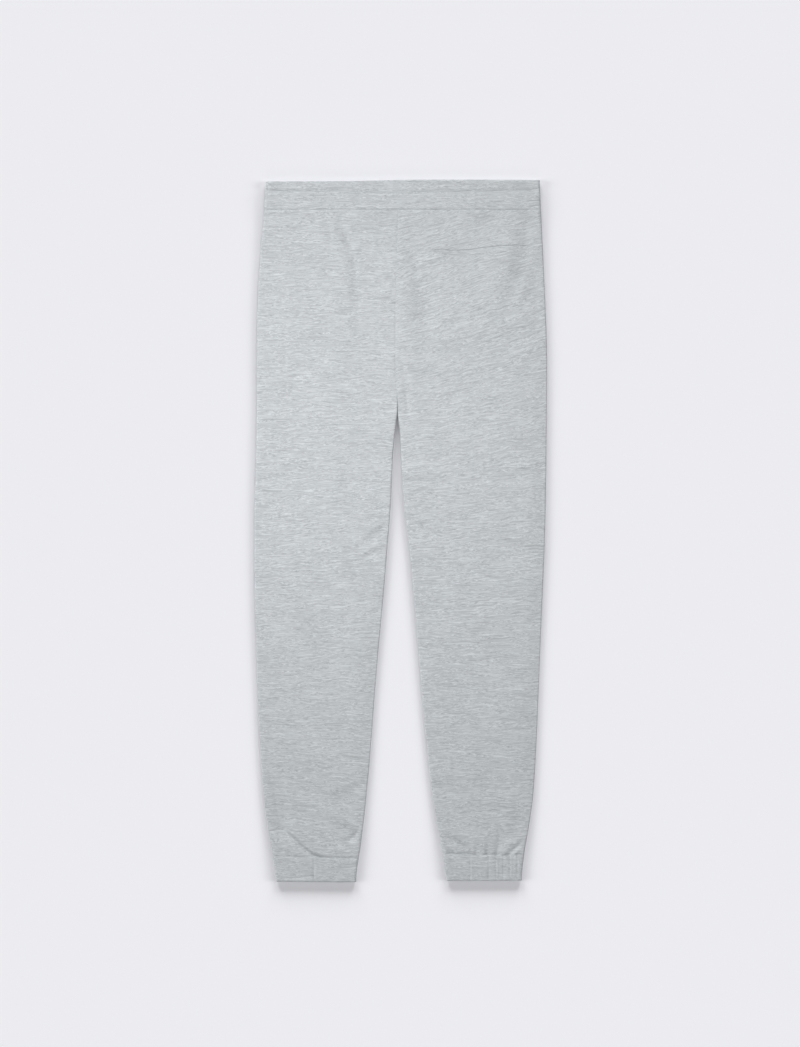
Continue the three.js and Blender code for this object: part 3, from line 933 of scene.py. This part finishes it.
@dataclass(frozen=True)
class MarlJersey:
    """Brushed marl sweatshirt cloth."""

    name: str
    slot: str
    dark: tuple[float, float, float]
    light: tuple[float, float, float]
    contrast: float = 1.95
    patchiness: float = 0.15
    sheen: float = 0.12
    sheen_roughness: float = 0.6
    specular: float = 0.15
    relief: float = 0.35
    relief_height: float = 0.0005

    def material(self, group: bpy.types.NodeTree) -> bpy.types.Material:
        """Makes the material.

        Args:
            group: The marl node group.

        Returns:
            The material.
        """
        material = bpy.data.materials.new(self.name)
        material.use_nodes = True
        material.node_tree.nodes.clear()
        tree = Tree(material.node_tree)
        grain = tree.add("ShaderNodeUVMap", uv_map="grain").outputs[0]
        fibres = {
            "Grain": grain,
            "Dark Fibre": (*self.dark, 1),
            "Light Fibre": (*self.light, 1),
            "Contrast": self.contrast,
            "Patchiness": self.patchiness,
        }
        marl = tree.add("ShaderNodeGroup", fibres, node_tree=group).outputs
        raised = {"Strength": self.relief, "Distance": self.relief_height, "Height": marl["Bump Height"]}
        surface = {
            "Base Color": marl["Base Color"],
            "Roughness": marl["Roughness"],
            "Normal": tree.add("ShaderNodeBump", raised).outputs[0],
            "Sheen Weight": self.sheen,
            "Sheen Roughness": self.sheen_roughness,
            "Specular IOR Level": self.specular,
        }
        shader = tree.add("ShaderNodeBsdfPrincipled", surface)
        tree.add("ShaderNodeOutputMaterial", {"Surface": shader.outputs[0]})
        return material


class Finishes:
    """The garment's materials, made once from one node group."""

    def __init__(self) -> None:
        """Makes the materials."""
        group = marl_group(MarlPattern())
        dark, light = (0.375, 0.395, 0.412), (0.672, 0.702, 0.722)
        self.specs = {
            "jersey": MarlJersey("marl jersey", "jersey", dark, light),
            "band": MarlJersey("marl band jersey", "band_jersey", dark, light, patchiness=0.1),
            "pocketing": MarlJersey("pocketing", "pocketing", dark, light, contrast=0.4),
            "thread": MarlJersey("thread", "band_jersey", dark, light, contrast=0.2, relief=0.0),
        }
        self.made = {key: spec.material(group) for key, spec in self.specs.items()}

    def dress(self, piece: bpy.types.Object, key: str) -> None:
        """Gives a piece its material and its body.

        Args:
            piece: The piece.
            key: Name of the finish.
        """
        piece.data.materials.clear()
        piece.data.materials.append(self.made[key])
        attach(piece, "root")


@dataclass(frozen=True)
class PanelGrid:
    """How closely the points of a leg panel lie."""

    step: float
    ankle_rows: int
    turns: int
    across: int


FINE_GRID = PanelGrid(step=2.8, ankle_rows=70, turns=6, across=92)
PLAIN_GRID = PanelGrid(step=5.0, ankle_rows=16, turns=5, across=44)


@dataclass
class LegPanel:
    """A back or front panel of one leg, with its half of the seat."""

    leg: Leg
    layer: Layer
    area: float
    flat: tuple[float, float]
    rests_on: tuple[str, ...]
    piece: bpy.types.Object | None = field(default=None, init=False)

    @property
    def name(self) -> str:
        """Name of the CAD node that the panel stands for."""
        return f"{self.layer.value}_{self.leg.value}"

    @property
    def upper(self) -> bool:
        """Whether the panel is in the upper cloth, which shows."""
        return self.layer is Layer.BACK

    @property
    def grid(self) -> PanelGrid:
        """How closely the panel's points lie, finer where it shows."""
        return FINE_GRID if self.upper else PLAIN_GRID

    def _rows(self, inside_share: np.ndarray) -> np.ndarray:
        """Places down of the panel's rows of points, closer at the waist and the ankle.

        Args:
            inside_share: 0 at the side of the leg, 1 at its inside.

        Returns:
            Place down of each row at each share.
        """
        start = WAIST_SEAM + SEWN_GAP
        near = start + np.array(NEAR_SEAM_ROWS)
        body = np.arange(start + BODY_STARTS, ANKLE - BODY_STOPS, self.grid.step)
        fork = np.array([CROTCH - FORK_SPLIT, CROTCH + FORK_SPLIT])
        body = np.sort(np.concatenate((body[np.abs(body - CROTCH) > FORK_SPARE], fork)))
        fixed = np.concatenate((near, body))[:, None] * np.ones_like(inside_share)
        shares = np.linspace(0, 1, self.grid.ankle_rows)
        ends = CUFF_SEAMS[self.leg].seam(inside_share) - SEWN_GAP
        ankle = ANKLE + (ends - ANKLE) * (1 - (1 - shares[:, None]) ** ANKLE_CROWDING)
        return np.concatenate((fixed, ankle))

    def _flat_height(self, x: np.ndarray, down: np.ndarray, share: np.ndarray, depth: float) -> np.ndarray:
        """Height of the panel between its turned edges.

        Args:
            x: Places across.
            down: Places down.
            share: 0 at the side of the leg, 1 at its inside.
            depth: How far under the outer face, 0 or the cloth's thickness.

        Returns:
            Height at each place.
        """
        if not self.upper:
            side, inside = side_edge(self.leg, down), inside_edge(self.leg, down)
            calm = smoothstep(np.minimum(np.abs(x - side), np.abs(x - inside)), *FRONT_CALM)
            return depth + calm * sum(fold.height(x, down) for fold in FRONT_FOLDS)
        ends = CUFF_SEAMS[self.leg].seam(share)
        crimp = waves(x, ANKLE_CRIMP) * smoothstep(down, ends - ANKLE_CRIMP_REACH, ends)
        top = cloth_top(self.leg, x, down) - dips(down - ends, ANKLE_DIPS) + crimp
        return np.maximum(top - depth, least_height(x, down) + LEAST_CLOTH * (depth == 0))

    def build(self) -> bpy.types.Object:
        """Makes the panel's wall on the form of its solid.

        Returns:
            The panel.
        """
        # Zones: 0 is the turned edge at the side, 1 the flat between, 2 the turned edge at the inside
        turns, across = self.grid.turns, self.grid.across
        angle = np.radians(90 * np.arange(turns) / turns)
        steps = np.linspace(0, 1, across + 1)
        share = np.concatenate((np.zeros(turns), steps, np.ones(turns)))[None, :]
        turn = np.concatenate((angle, np.full(across + 1, math.pi / 2), angle[::-1]))[None, :]
        zone = np.concatenate((np.zeros(turns), np.ones(across + 1), np.full(turns, 2)))[None, :]
        down = self._rows(share)
        side, inside = side_edge(self.leg, down), inside_edge(self.leg, down)
        edge = curve(LOFT, down, 1)
        drop = smoothstep(down, GAP_OPENS - CROTCH_DROP, GAP_OPENS)
        inward = self.leg.inward
        x_flat = lerp(side + inward * edge, inside - inward * edge, share)
        x_seam = inside - inward * (edge - edge * np.cos(turn))
        walls = []
        for depth in (0.0, CLOTH):
            rise = (edge - HALF_GAP - depth) * np.sin(turn)
            turned = edge + HALF_GAP + rise if self.upper else edge - HALF_GAP - rise
            reach = edge - (edge - depth) * np.cos(turn)
            x_inside = lerp(x_seam, inside - inward * reach, drop)
            z_inside = lerp(self._flat_height(x_seam, down, share, depth), turned, drop)
            x = np.where(zone == 0, side + inward * reach, np.where(zone == 1, x_flat, x_inside))
            z_flat = self._flat_height(x_flat, down, share, depth)
            z = np.where(zone == 0, turned, np.where(zone == 1, z_flat, z_inside))
            walls.append(place(x, down, z))
        grain = self._grain(walls[0])
        self.piece = ClothWall(walls[0], walls[1], grain).build(f"cloth_{self.name}")
        return self.piece

    def _grain(self, outer: np.ndarray) -> np.ndarray:
        """Grain map of the panel: across from its middle, and along, with the tilt of its marl.

        Args:
            outer: Outer grid of points.

        Returns:
            Place on the map at each point.
        """
        arc = arc_lengths(outer)
        middle = outer.shape[1] // 2
        along = self.leg.inward * (arc - arc[:, middle : middle + 1]) + outer[:, middle : middle + 1, 0]
        down = LENGTH / 2 - outer[..., 1] / MM
        tilt = curve(LEFT_TILT if self.leg is Leg.LEFT else RIGHT_TILT, down)
        climb = along * np.tan(np.radians(tilt))
        offset = LOWER_LAYER_SHIFT * (not self.upper) + RIGHT_LEG_SHIFT * (self.leg is Leg.RIGHT)
        return np.stack((along + offset, outer[..., 1] - climb + offset), axis=-1)

    def dress(self, finishes: Finishes, sewn_on: Sequence[bpy.types.Object] = ()) -> None:
        """Args:
            finishes: The garment's materials.
            sewn_on: Small pieces that are sewn to the panel. Not used.
        """
        finishes.dress(self.piece, "jersey")
        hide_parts(self.name)


def ring_grids(
    left: np.ndarray,
    right: np.ndarray,
    down: np.ndarray,
    share: np.ndarray,
    turn: np.ndarray,
    upper: np.ndarray,
    lower: np.ndarray,
    half: float,
    wall: float,
) -> tuple[np.ndarray, np.ndarray]:
    """Outer and inner grid of a flattened ring: back wall, right end, front wall and left end.

    Args:
        left: X of its left end at each point.
        right: X of its right end at each point.
        down: Distance down at each point.
        share: Share of the way from the left end to the right end.
        turn: Angle round an end, 90 degrees on the back wall and -90 on the front wall.
        upper: How far the back wall's surface lies below its full height.
        lower: How far the front wall's surface lies above the floor.
        half: Half the ring's height.
        wall: Thickness of its wall.

    Returns:
        The two grids of points.
    """
    x = lerp(left + half, right - half, share)
    up = np.sin(turn)
    dip = np.where(up > 0, upper, lower) * np.abs(up)
    outer = place(x + (half - dip) * np.cos(turn), down, half + (half - dip) * up)
    core = half - wall
    inner = place(x + core * np.cos(turn), down, half + core * up)
    return outer, inner


def ring_stations(across: int, ends: int) -> tuple[np.ndarray, np.ndarray]:
    """Stations round a flattened ring.

    Args:
        across: Steps across each wall.
        ends: Steps round each end.

    Returns:
        Share of the way from left to right, and angle, at each station.
    """
    steps = np.linspace(0, 1, across + 1)
    bends = np.arange(1, ends) / ends
    share = np.concatenate((steps, np.ones(ends - 1), steps[::-1], np.zeros(ends - 1)))
    right = np.radians(90 - 180 * bends)
    left = np.radians(-90 - 180 * bends)
    level = np.full(across + 1, math.pi / 2)
    turn = np.concatenate((level, right, -level, left))
    return share[None, :], turn[None, :]


def ring_grain(outer: np.ndarray, offset: float) -> np.ndarray:
    """Grain map of a ring: the way round it, and the way along the garment.

    Args:
        outer: Outer grid of points.
        offset: Shift that keeps its marl unlike that of other pieces.

    Returns:
        The map, with one column more than the ring has.
    """
    closed = np.concatenate((outer, outer[:, :1]), axis=1)
    along = arc_lengths(closed)
    return np.stack((along + offset, closed[..., 1] + offset), axis=-1)


@dataclass
class StitchRow:
    """A row of thread stitches along a line on the cloth."""

    name: str
    line: Callable[[np.ndarray], np.ndarray]
    start: float
    end: float
    pitch: float = 3.4
    length: float = 2.5
    radius: float = 0.2
    piece: bpy.types.Object | None = field(default=None, init=False)

    def build(self) -> bpy.types.Object:
        """Makes the row as one mesh of short, slightly bowed threads.

        Returns:
            The row.
        """
        starts = np.arange(self.start, self.end - self.length, self.pitch)
        angles = np.radians(np.arange(THREAD_SIDES) * 360 / THREAD_SIDES)
        points, faces = [], []
        for at in starts:
            base = len(points)
            for share, lift, size in THREAD_BOW:
                x, y, z = self.line(np.array(at + share * self.length))
                high, reach = z + lift * self.radius * MM, self.radius * size * MM
                points.extend((x, y + reach * math.cos(a), high + reach * math.sin(a)) for a in angles)
            last = len(points) - THREAD_SIDES
            for low in range(base, last, THREAD_SIDES):
                for k in range(THREAD_SIDES):
                    a, b = low + k, low + (k + 1) % THREAD_SIDES
                    faces.append((a, b, b + THREAD_SIDES, a + THREAD_SIDES))
            faces.append(tuple(base + k for k in reversed(range(THREAD_SIDES))))
            faces.append(tuple(last + k for k in range(THREAD_SIDES)))
        mesh = bpy.data.meshes.new(self.name)
        mesh.from_pydata(points, [], faces)
        grain = mesh.uv_layers.new(name="grain")
        for loop in mesh.loops:
            co = mesh.vertices[loop.vertex_index].co
            grain.data[loop.index].uv = (co.x, co.y)
        mesh.shade_smooth()
        self.piece = linked(self.name, mesh)
        return self.piece


@dataclass
class Waistband:
    """The elastic waistband: a narrow upper and a wider lower channel, parted by rows of stitches."""

    across: int = 230
    ends: int = 14
    rows: int = 52
    crowding: float = 0.012
    twin: float = 6.4
    piece: bpy.types.Object | None = field(default=None, init=False)
    stitches: list[StitchRow] = field(default_factory=list, init=False)

    @staticmethod
    def _crease(x: np.ndarray) -> np.ndarray:
        """Distance down of the crease along the upper row of stitches."""
        return stitch_line(x) - LINE_RAISE + dips(x, LINE_BOW)

    def _upper_dip(self, x: np.ndarray, down: np.ndarray) -> np.ndarray:
        """How far the back wall lies below its full height.

        Args:
            x: Places across.
            down: Places down.

        Returns:
            Depth at each place.
        """
        line = down - self._crease(x)
        seam = WAIST_SEAM - SEWN_GAP - down
        reach = np.where(line < 0, LINE_REACH_ABOVE, LINE_REACH_BELOW)
        dip = rolled_edge(down - curve(WAIST_EDGE, x), *BAND_ROLL)
        dip = dip + LINE_DEPTH * (1 + dips(x, LINE_DEEPER)) * bump(line, reach)
        dip = dip + dips(line - self.twin, TWIN_DIPS) + dips(seam, BAND_SEAM_DIPS)
        ripple = waves(x, BAND_RIPPLES) * bump(line - BAND_RIPPLE_REACH, BAND_RIPPLE_REACH)
        wave = BAND_WAVE * np.sin(x / BAND_WAVE_ACROSS + down / BAND_WAVE_DOWN)
        return dip + RING_EASE + ripple + wave

    def _lower_dip(self, x: np.ndarray, down: np.ndarray) -> np.ndarray:
        """How far the front wall lies above the floor.

        Args:
            x: Places across.
            down: Places down.

        Returns:
            Height at each place.
        """
        line = down - self._crease(x)
        edge = np.minimum(down - curve(WAIST_EDGE, x), WAIST_SEAM - SEWN_GAP - down)
        rise = dips(line, BAND_FRONT_LINE_DIPS) + dips(line - self.twin, BAND_FRONT_TWIN_DIPS)
        return rise + dips(edge, BAND_FRONT_EDGE_DIPS)

    def build(self) -> bpy.types.Object:
        """Makes the band's ring and its rows of stitches.

        Returns:
            The band.
        """
        share, turn = ring_stations(self.across, self.ends)
        guess = lerp(SIDES[0][1], SIDES[0][2], share)
        top = curve(WAIST_EDGE, guess)
        along = np.linspace(0, 1, self.rows)[:, None]
        along = along + self.crowding * np.sin(2 * math.pi * along)
        down = top + (WAIST_SEAM - SEWN_GAP - top) * along
        left, right = curve(SIDES, down, 1), curve(SIDES, down, 2)
        x = lerp(left + BAND_HALF, right - BAND_HALF, share)
        upper, lower = self._upper_dip(x, down), self._lower_dip(x, down)
        outer, inner = ring_grids(left, right, down, share, turn, upper, lower, BAND_HALF, BAND_WALL)
        grain = ring_grain(outer, BAND_SHIFT)
        self.piece = ClothWall(outer, inner, grain, ring=True).build("cloth_waistband")
        self._sew()
        return self.piece

    def _thread(self, shift: float, layer: Layer) -> Callable[[np.ndarray], np.ndarray]:
        """The line of a row of stitches.

        Args:
            shift: How far down it runs from the crease.
            layer: The wall that it lies on.

        Returns:
            Function that gives the point at a place across.
        """

        def line(x: np.ndarray) -> np.ndarray:
            """Point of the line.

            Args:
                x: Place across.

            Returns:
                The point.
            """
            down = self._crease(x) + shift
            if layer is Layer.BACK:
                return place(x, down, 2 * BAND_HALF - self._upper_dip(x, down) + THREAD_LIFT)
            return place(x, down, self._lower_dip(x, down) - THREAD_LIFT)

        return line

    def _sew(self) -> None:
        """Makes two rows of stitches on the back wall and two on the front wall."""
        low, high = SIDES[0][1] + STITCH_END_GAP, SIDES[0][2] - STITCH_END_GAP
        for layer in Layer:
            for row, shift in (("upper", 0.0), ("lower", self.twin)):
                name = f"stitches_{layer.value}_{row}"
                stitches = StitchRow(name, self._thread(shift, layer), low, high)
                stitches.build()
                self.stitches.append(stitches)

    def dress(self, finishes: Finishes) -> None:
        """Args:
            finishes: The garment's materials.
        """
        finishes.dress(self.piece, "band")
        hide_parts("waistband")
        for row in self.stitches:
            finishes.dress(row.piece, "thread")


GATHER_EASE = 0.12


@dataclass(frozen=True)
class Gather:
    """One upright gather of a cuff: a groove, or a ridge where depth is negative."""

    x: float
    reach: float
    depth: float
    top: float = 0.0
    low: float = 1.0

    def dip(self, x: np.ndarray, share: np.ndarray) -> np.ndarray:
        """How far the gather sinks the cloth.

        Args:
            x: Places across.
            share: Share of the way from the cuff seam to the hem.

        Returns:
            Depth at each place.
        """
        length = smoothstep(share, self.top - GATHER_EASE, self.top + GATHER_EASE)
        length = length * (1 - smoothstep(share, self.low - GATHER_EASE, self.low + GATHER_EASE))
        return self.depth * bump(x - self.x, self.reach) * length


BACK_GATHERS = {
    Leg.LEFT: (
        Gather(-126, 1.8, 0.9, -0.2, 0.9),
        Gather(-131, 3.0, -0.35, 0.3, 1.2),
        Gather(-160, 3.2, 0.3, -0.2, 0.6),
        Gather(-146, 2.6, 0.25, 0.2, 1.2),
        Gather(-108, 3.0, 0.3, -0.2, 0.7),
        Gather(-92, 2.6, 0.3, 0.2, 1.2),
        Gather(-78, 2.8, 0.25, -0.2, 0.8),
    ),
    Leg.RIGHT: (
        Gather(101, 1.3, 0.9, -0.2, 1.2),
        Gather(127.5, 1.1, 0.75, -0.2, 0.9),
        Gather(131.5, 1.5, -0.2, 0.1, 1.2),
        Gather(138.2, 1.0, 0.7, -0.2, 1.2),
        Gather(143.0, 1.0, 0.4, 0.2, 1.2),
        Gather(148.8, 1.1, 0.8, -0.2, 1.2),
        Gather(153.0, 1.6, -0.2, 0.0, 1.2),
        Gather(158.2, 1.0, 0.6, -0.2, 0.8),
        Gather(163.0, 1.1, 0.5, 0.1, 1.2),
        Gather(169.0, 1.2, 0.7, -0.2, 1.2),
        Gather(82, 1.6, 0.25, 0.3, 1.2),
        Gather(114, 1.4, 0.3, -0.2, 0.8),
    ),
}
FRONT_GATHERS = {
    Leg.LEFT: tuple(Gather(x, 2.2, 0.6) for x in (-158, -139, -101, -84)),
    Leg.RIGHT: tuple(Gather(x, 2.2, 0.6) for x in (84, 112, 146)),
}


@dataclass
class Cuff:
    """An elastic ankle cuff, gathered on its elastic."""

    leg: Leg
    across: int = 110
    ends: int = 12
    rows: int = 40
    piece: bpy.types.Object | None = field(default=None, init=False)

    def build(self) -> bpy.types.Object:
        """Makes the cuff's ring.

        Returns:
            The cuff.
        """
        share, turn = ring_stations(self.across, self.ends)
        seams = CUFF_SEAMS[self.leg]
        towards = share if self.leg is Leg.LEFT else 1 - share
        top = seams.seam(towards) + SEWN_GAP
        along = np.linspace(0, 1, self.rows)[:, None]
        down = top + (seams.hem(towards) - top) * along
        ends = (side_edge(self.leg, down), inside_edge(self.leg, down))
        left, right = np.minimum(*ends), np.maximum(*ends)
        x = lerp(left + CUFF_HALF, right - CUFF_HALF, share)
        seam_away, hem_away = down - top, seams.hem(towards) - down
        upper = rolled_edge(hem_away, *HEM_ROLL) + dips(seam_away, CUFF_SEAM_DIPS) + RING_EASE
        upper = upper + sum(gather.dip(x, along) for gather in BACK_GATHERS[self.leg])
        upper = upper + waves(x, CUFF_RIPPLES) * bump(along - 0.5, 0.5)
        lower = dips(np.minimum(seam_away, hem_away), CUFF_FRONT_DIPS)
        lower = lower + sum(gather.dip(x, along) for gather in FRONT_GATHERS[self.leg])
        outer, inner = ring_grids(left, right, down, share, turn, upper, lower, CUFF_HALF, CUFF_WALL)
        grain = ring_grain(outer, CUFF_SHIFT + RIGHT_LEG_SHIFT * (self.leg is Leg.RIGHT))
        self.piece = ClothWall(outer, inner, grain, ring=True).build(f"cloth_cuff_{self.leg.value}")
        return self.piece

    def dress(self, finishes: Finishes) -> None:
        """Args:
            finishes: The garment's materials.
        """
        finishes.dress(self.piece, "band")
        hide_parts(f"cuff_{self.leg.value}")


@dataclass
class WeltPocket:
    """The one back pocket: an opening in the panel, a folded welt in it, and a bag behind."""

    welt: bpy.types.Object | None = field(default=None, init=False)
    bag: bpy.types.Object | None = field(default=None, init=False)

    def open_panel(self, panel: bpy.types.Object) -> None:
        """Cuts the opening for the welt in the right back panel.

        Args:
            panel: The panel.
        """
        x = np.linspace(POCKET_MOUTH[0][0], POCKET_MOUTH[-1][0], MOUTH_POINTS)
        mouth = curve(POCKET_MOUTH, x)
        ring = np.concatenate((place(x, mouth, 0), place(x, mouth + WELT_HEIGHT, 0)[::-1]))
        shape = bmesh.new()
        floor = [shape.verts.new((*point[:2], CUTTER_FLOOR * MM)) for point in ring]
        face = shape.faces.new(floor)
        grown = bmesh.ops.extrude_face_region(shape, geom=[face])
        raised = [item for item in grown["geom"] if isinstance(item, bmesh.types.BMVert)]
        bmesh.ops.translate(shape, verts=raised, vec=(0, 0, CUTTER_HEIGHT * MM))
        bmesh.ops.recalc_face_normals(shape, faces=shape.faces)
        mesh = bpy.data.meshes.new("pocket_opening")
        shape.to_mesh(mesh)
        shape.free()
        cutter = linked("pocket_opening", mesh)
        cut = panel.modifiers.new("opening", "BOOLEAN")
        cut.object = cutter
        cut.operation = "DIFFERENCE"
        cut.solver = "EXACT"
        with bpy.context.temp_override(object=panel, active_object=panel):
            bpy.ops.object.modifier_apply(modifier=cut.name)
        bpy.data.objects.remove(cutter)
        bpy.data.meshes.remove(mesh)
        panel.data.set_sharp_from_angle(angle=SHARP_ANGLE)

    def build(self) -> None:
        """Makes the welt and the bag."""
        self._build_welt()
        self._build_bag()

    def _build_welt(self) -> None:
        """Makes the welt, level with the cloth round it and folded at the mouth."""
        left, right = POCKET_MOUTH[0][0] + SEWN_GAP, POCKET_MOUTH[-1][0] - SEWN_GAP
        x = np.linspace(left, right, WELT_POINTS)[None, :]
        near_fold = MOUTH_GAP + np.array(WELT_FOLD_ROWS)
        near_seam = [WELT_LAST_ROW, WELT_HEIGHT - SEWN_GAP]
        below = np.concatenate((near_fold, np.linspace(*WELT_MIDDLE_ROWS), near_seam))[:, None]
        down = curve(POCKET_MOUTH, x) + below
        fold = rolled_edge(below - MOUTH_GAP, *WELT_ROLL)
        sewn = dips(below - WELT_HEIGHT, WELT_SEAM_DIPS)
        top = cloth_top(Leg.RIGHT, x, down)
        lowest = least_height(x, down)
        outer = place(x, down, np.maximum(top - fold - sewn, lowest + LEAST_CLOTH))
        inner = place(x, down, np.maximum(top - WELT_WALL, lowest))
        grain = outer[..., :2] + WELT_SHIFT
        self.welt = ClothWall(outer, inner, grain).build("cloth_pocket_welt")

    def _build_bag(self) -> None:
        """Makes the bag's one layer, with rounded lower corners."""
        across = np.linspace(0, 1, BAG_GRID[0])[None, :]
        share = np.linspace(0, 1, BAG_GRID[1])[:, None]
        corner = BAG_CORNER * np.abs(2 * across - 1) ** BAG_CORNER_POWER
        x = lerp(BAG_LEFT, BAG_RIGHT, across)
        down = BAG_TOP + (BAG_BOTTOM - corner - BAG_TOP) * share
        outer = place(x, down, BAG_RISE + BAG_WALL)
        inner = place(x, down, BAG_RISE)
        grain = outer[..., :2] + BAG_SHIFT
        self.bag = ClothWall(outer, inner, grain).build("cloth_pocket_bag")

    def dress(self, finishes: Finishes) -> None:
        """Args:
            finishes: The garment's materials.
        """
        finishes.dress(self.welt, "jersey")
        finishes.dress(self.bag, "pocketing")
        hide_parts("pocket_welt")
        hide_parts("pocket_bag")


@dataclass(frozen=True)
class Sun:
    """A soft sun. Its strength, then the width of its disc and its direction in degrees."""

    name: str
    energy: float
    spread: float
    elevation: float
    azimuth: float

    def build(self) -> bpy.types.Object:
        """Makes the light.

        Returns:
            The light.
        """
        light = bpy.data.lights.new(self.name, "SUN")
        light.energy = self.energy
        light.angle = math.radians(self.spread)
        made = linked(self.name, light)
        high, around = math.radians(self.elevation), math.radians(self.azimuth)
        level = math.cos(high)
        way = Vector((level * math.cos(around), level * math.sin(around), math.sin(high)))
        made.rotation_euler = (-way).to_track_quat("-Z", "Y").to_euler()
        return made


# Low suns that fall on the floor alone and give the garment its soft shadow
FLOOR_SUNS = (
    Sun("floor light from the top left", 2.06, 23, 17.5, 107),
    Sun("floor light from the top right", 2.06, 23, 17.5, 73),
    Sun("floor light from the left", 1.2, 22, 22, 180),
    Sun("floor light from the right", 1.2, 22, 22, 0),
    Sun("floor light from below", 0.36, 24, 24, 270),
)
# Suns that fall on the garment alone and shade its folds
GARMENT_SUNS = (
    Sun("garment key", 2.65, 10, 38, 128),
    Sun("garment fill", 1.1, 24, 12, -50),
)


@dataclass
class Studio:
    """Pale floor, low suns for its shadow, key, fill and wash for the garment, and the camera overhead."""

    camera_at: tuple[float, float, float] = (-0.0011, 0.0109, 3.595)
    lens: float = 85.0
    sensor: float = 36.0
    floor_size: float = 60.0
    floor_z: float = -0.0002
    floor_colour: tuple[float, float, float] = (0.92, 0.92, 0.957)
    floor_roughness: float = 0.9
    sky_strength: float = 0.185
    backdrop: tuple[float, float, float] = (0.839, 0.839, 0.871)
    wash_energy: float = 2.2
    wash_size: float = 0.4
    wash_at: tuple[float, float, float] = (-0.2, 0.22, 0.72)

    def build(self, garment: list[bpy.types.Object]) -> None:
        """Makes the floor, the light and the camera.

        Args:
            garment: The pieces that its own lights fall on.
        """
        self._floor()
        self._sky()
        self._lights(garment)
        self._camera()

    def _floor(self) -> None:
        """Makes the floor, which doesn't show from below."""
        bpy.ops.mesh.primitive_plane_add(size=self.floor_size, location=(0, 0, 0))
        floor = bpy.context.active_object
        floor.name = "floor"
        for vertex in floor.data.vertices:
            vertex.co.z = self.floor_z
        material = bpy.data.materials.new("pale floor")
        material.use_nodes = True
        material.node_tree.nodes.clear()
        tree = Tree(material.node_tree)
        behind = tree.add("ShaderNodeNewGeometry").outputs["Backfacing"]
        surface = {
            "Base Color": (*self.floor_colour, 1),
            "Roughness": self.floor_roughness,
            "Specular IOR Level": 0.0,
            "Alpha": tree.math("SUBTRACT", 1.0, behind),
        }
        shader = tree.add("ShaderNodeBsdfPrincipled", surface)
        tree.add("ShaderNodeOutputMaterial", {"Surface": shader.outputs[0]})
        floor.data.materials.append(material)
        floor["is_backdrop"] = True

    def _sky(self) -> None:
        """Makes the even grey light, and the pale backdrop that the camera sees in its place."""
        world = bpy.data.worlds.new("studio")
        bpy.context.scene.world = world
        world.use_nodes = True
        world.node_tree.nodes.clear()
        tree = Tree(world.node_tree)
        even = {"Color": (1, 1, 1, 1), "Strength": self.sky_strength}
        light = tree.add("ShaderNodeBackground", even).outputs[0]
        pale = {"Color": (*self.backdrop, 1), "Strength": 1.0}
        backdrop = tree.add("ShaderNodeBackground", pale).outputs[0]
        seen = tree.add("ShaderNodeLightPath").outputs["Is Camera Ray"]
        shown = tree.add("ShaderNodeMixShader", {0: seen, 1: light, 2: backdrop}).outputs[0]
        tree.add("ShaderNodeOutputWorld", {"Surface": shown})

    def _lights(self, garment: list[bpy.types.Object]) -> None:
        """Makes the lights, each linked to what it falls on.

        Args:
            garment: The pieces that the garment's own lights fall on.
        """
        floor = [bpy.data.objects["floor"]]
        lights = [(sun.build(), floor) for sun in FLOOR_SUNS]
        lights += [(sun.build(), garment) for sun in GARMENT_SUNS]
        area = bpy.data.lights.new("garment wash", "AREA")
        area.energy = self.wash_energy
        area.size = self.wash_size
        wash = linked("garment wash", area)
        wash.location = self.wash_at
        lights.append((wash, garment))
        for light, receivers in lights:
            lit = bpy.data.collections.new(f"lit by {light.name}")
            for piece in receivers:
                lit.objects.link(piece)
            light.light_linking.receiver_collection = lit

    def _camera(self) -> None:
        """Makes the camera and gives it to the scene."""
        data = bpy.data.cameras.new("camera")
        data.lens = self.lens
        data.sensor_width = self.sensor
        camera = linked("camera", data)
        camera.location = self.camera_at
        bpy.context.scene.camera = camera


def garment_panels() -> list[LegPanel]:
    """The four leg panels with their flat sizes.

    Returns:
        The panels.
    """
    return [
        LegPanel(Leg.LEFT, Layer.FRONT, area=0.166, flat=(214, 942), rests_on=("floor",)),
        LegPanel(Leg.RIGHT, Layer.FRONT, area=0.166, flat=(214, 940), rests_on=("floor",)),
        LegPanel(Leg.LEFT, Layer.BACK, area=0.168, flat=(216, 942), rests_on=("cloth_front_left",)),
        LegPanel(Leg.RIGHT, Layer.BACK, area=0.168, flat=(216, 940), rests_on=("cloth_front_right",)),
    ]


def main() -> None:
    """Builds the garment, its finishes and the studio."""
    logging.basicConfig(level=logging.INFO, format="%(name)s: %(message)s")
    bpy.context.scene.view_settings.view_transform = "Standard"
    panels = garment_panels()
    for panel in panels:
        panel.build()
        log.info("%s built", panel.name)
    pocket = WeltPocket()
    pocket.open_panel(panels[-1].piece)
    pocket.build()
    band = Waistband()
    band.build()
    cuffs = [Cuff(Leg.LEFT), Cuff(Leg.RIGHT)]
    for cuff in cuffs:
        cuff.build()
    log.info("pocket, waistband and cuffs built")
    finishes = Finishes()
    for part in (*panels[:-1], pocket, band, *cuffs):
        part.dress(finishes)
    panels[-1].dress(finishes, sewn_on=[pocket.welt])
    Studio().build(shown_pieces())
    log.info("dressed and lit")


if __name__ == "__main__":
    main()
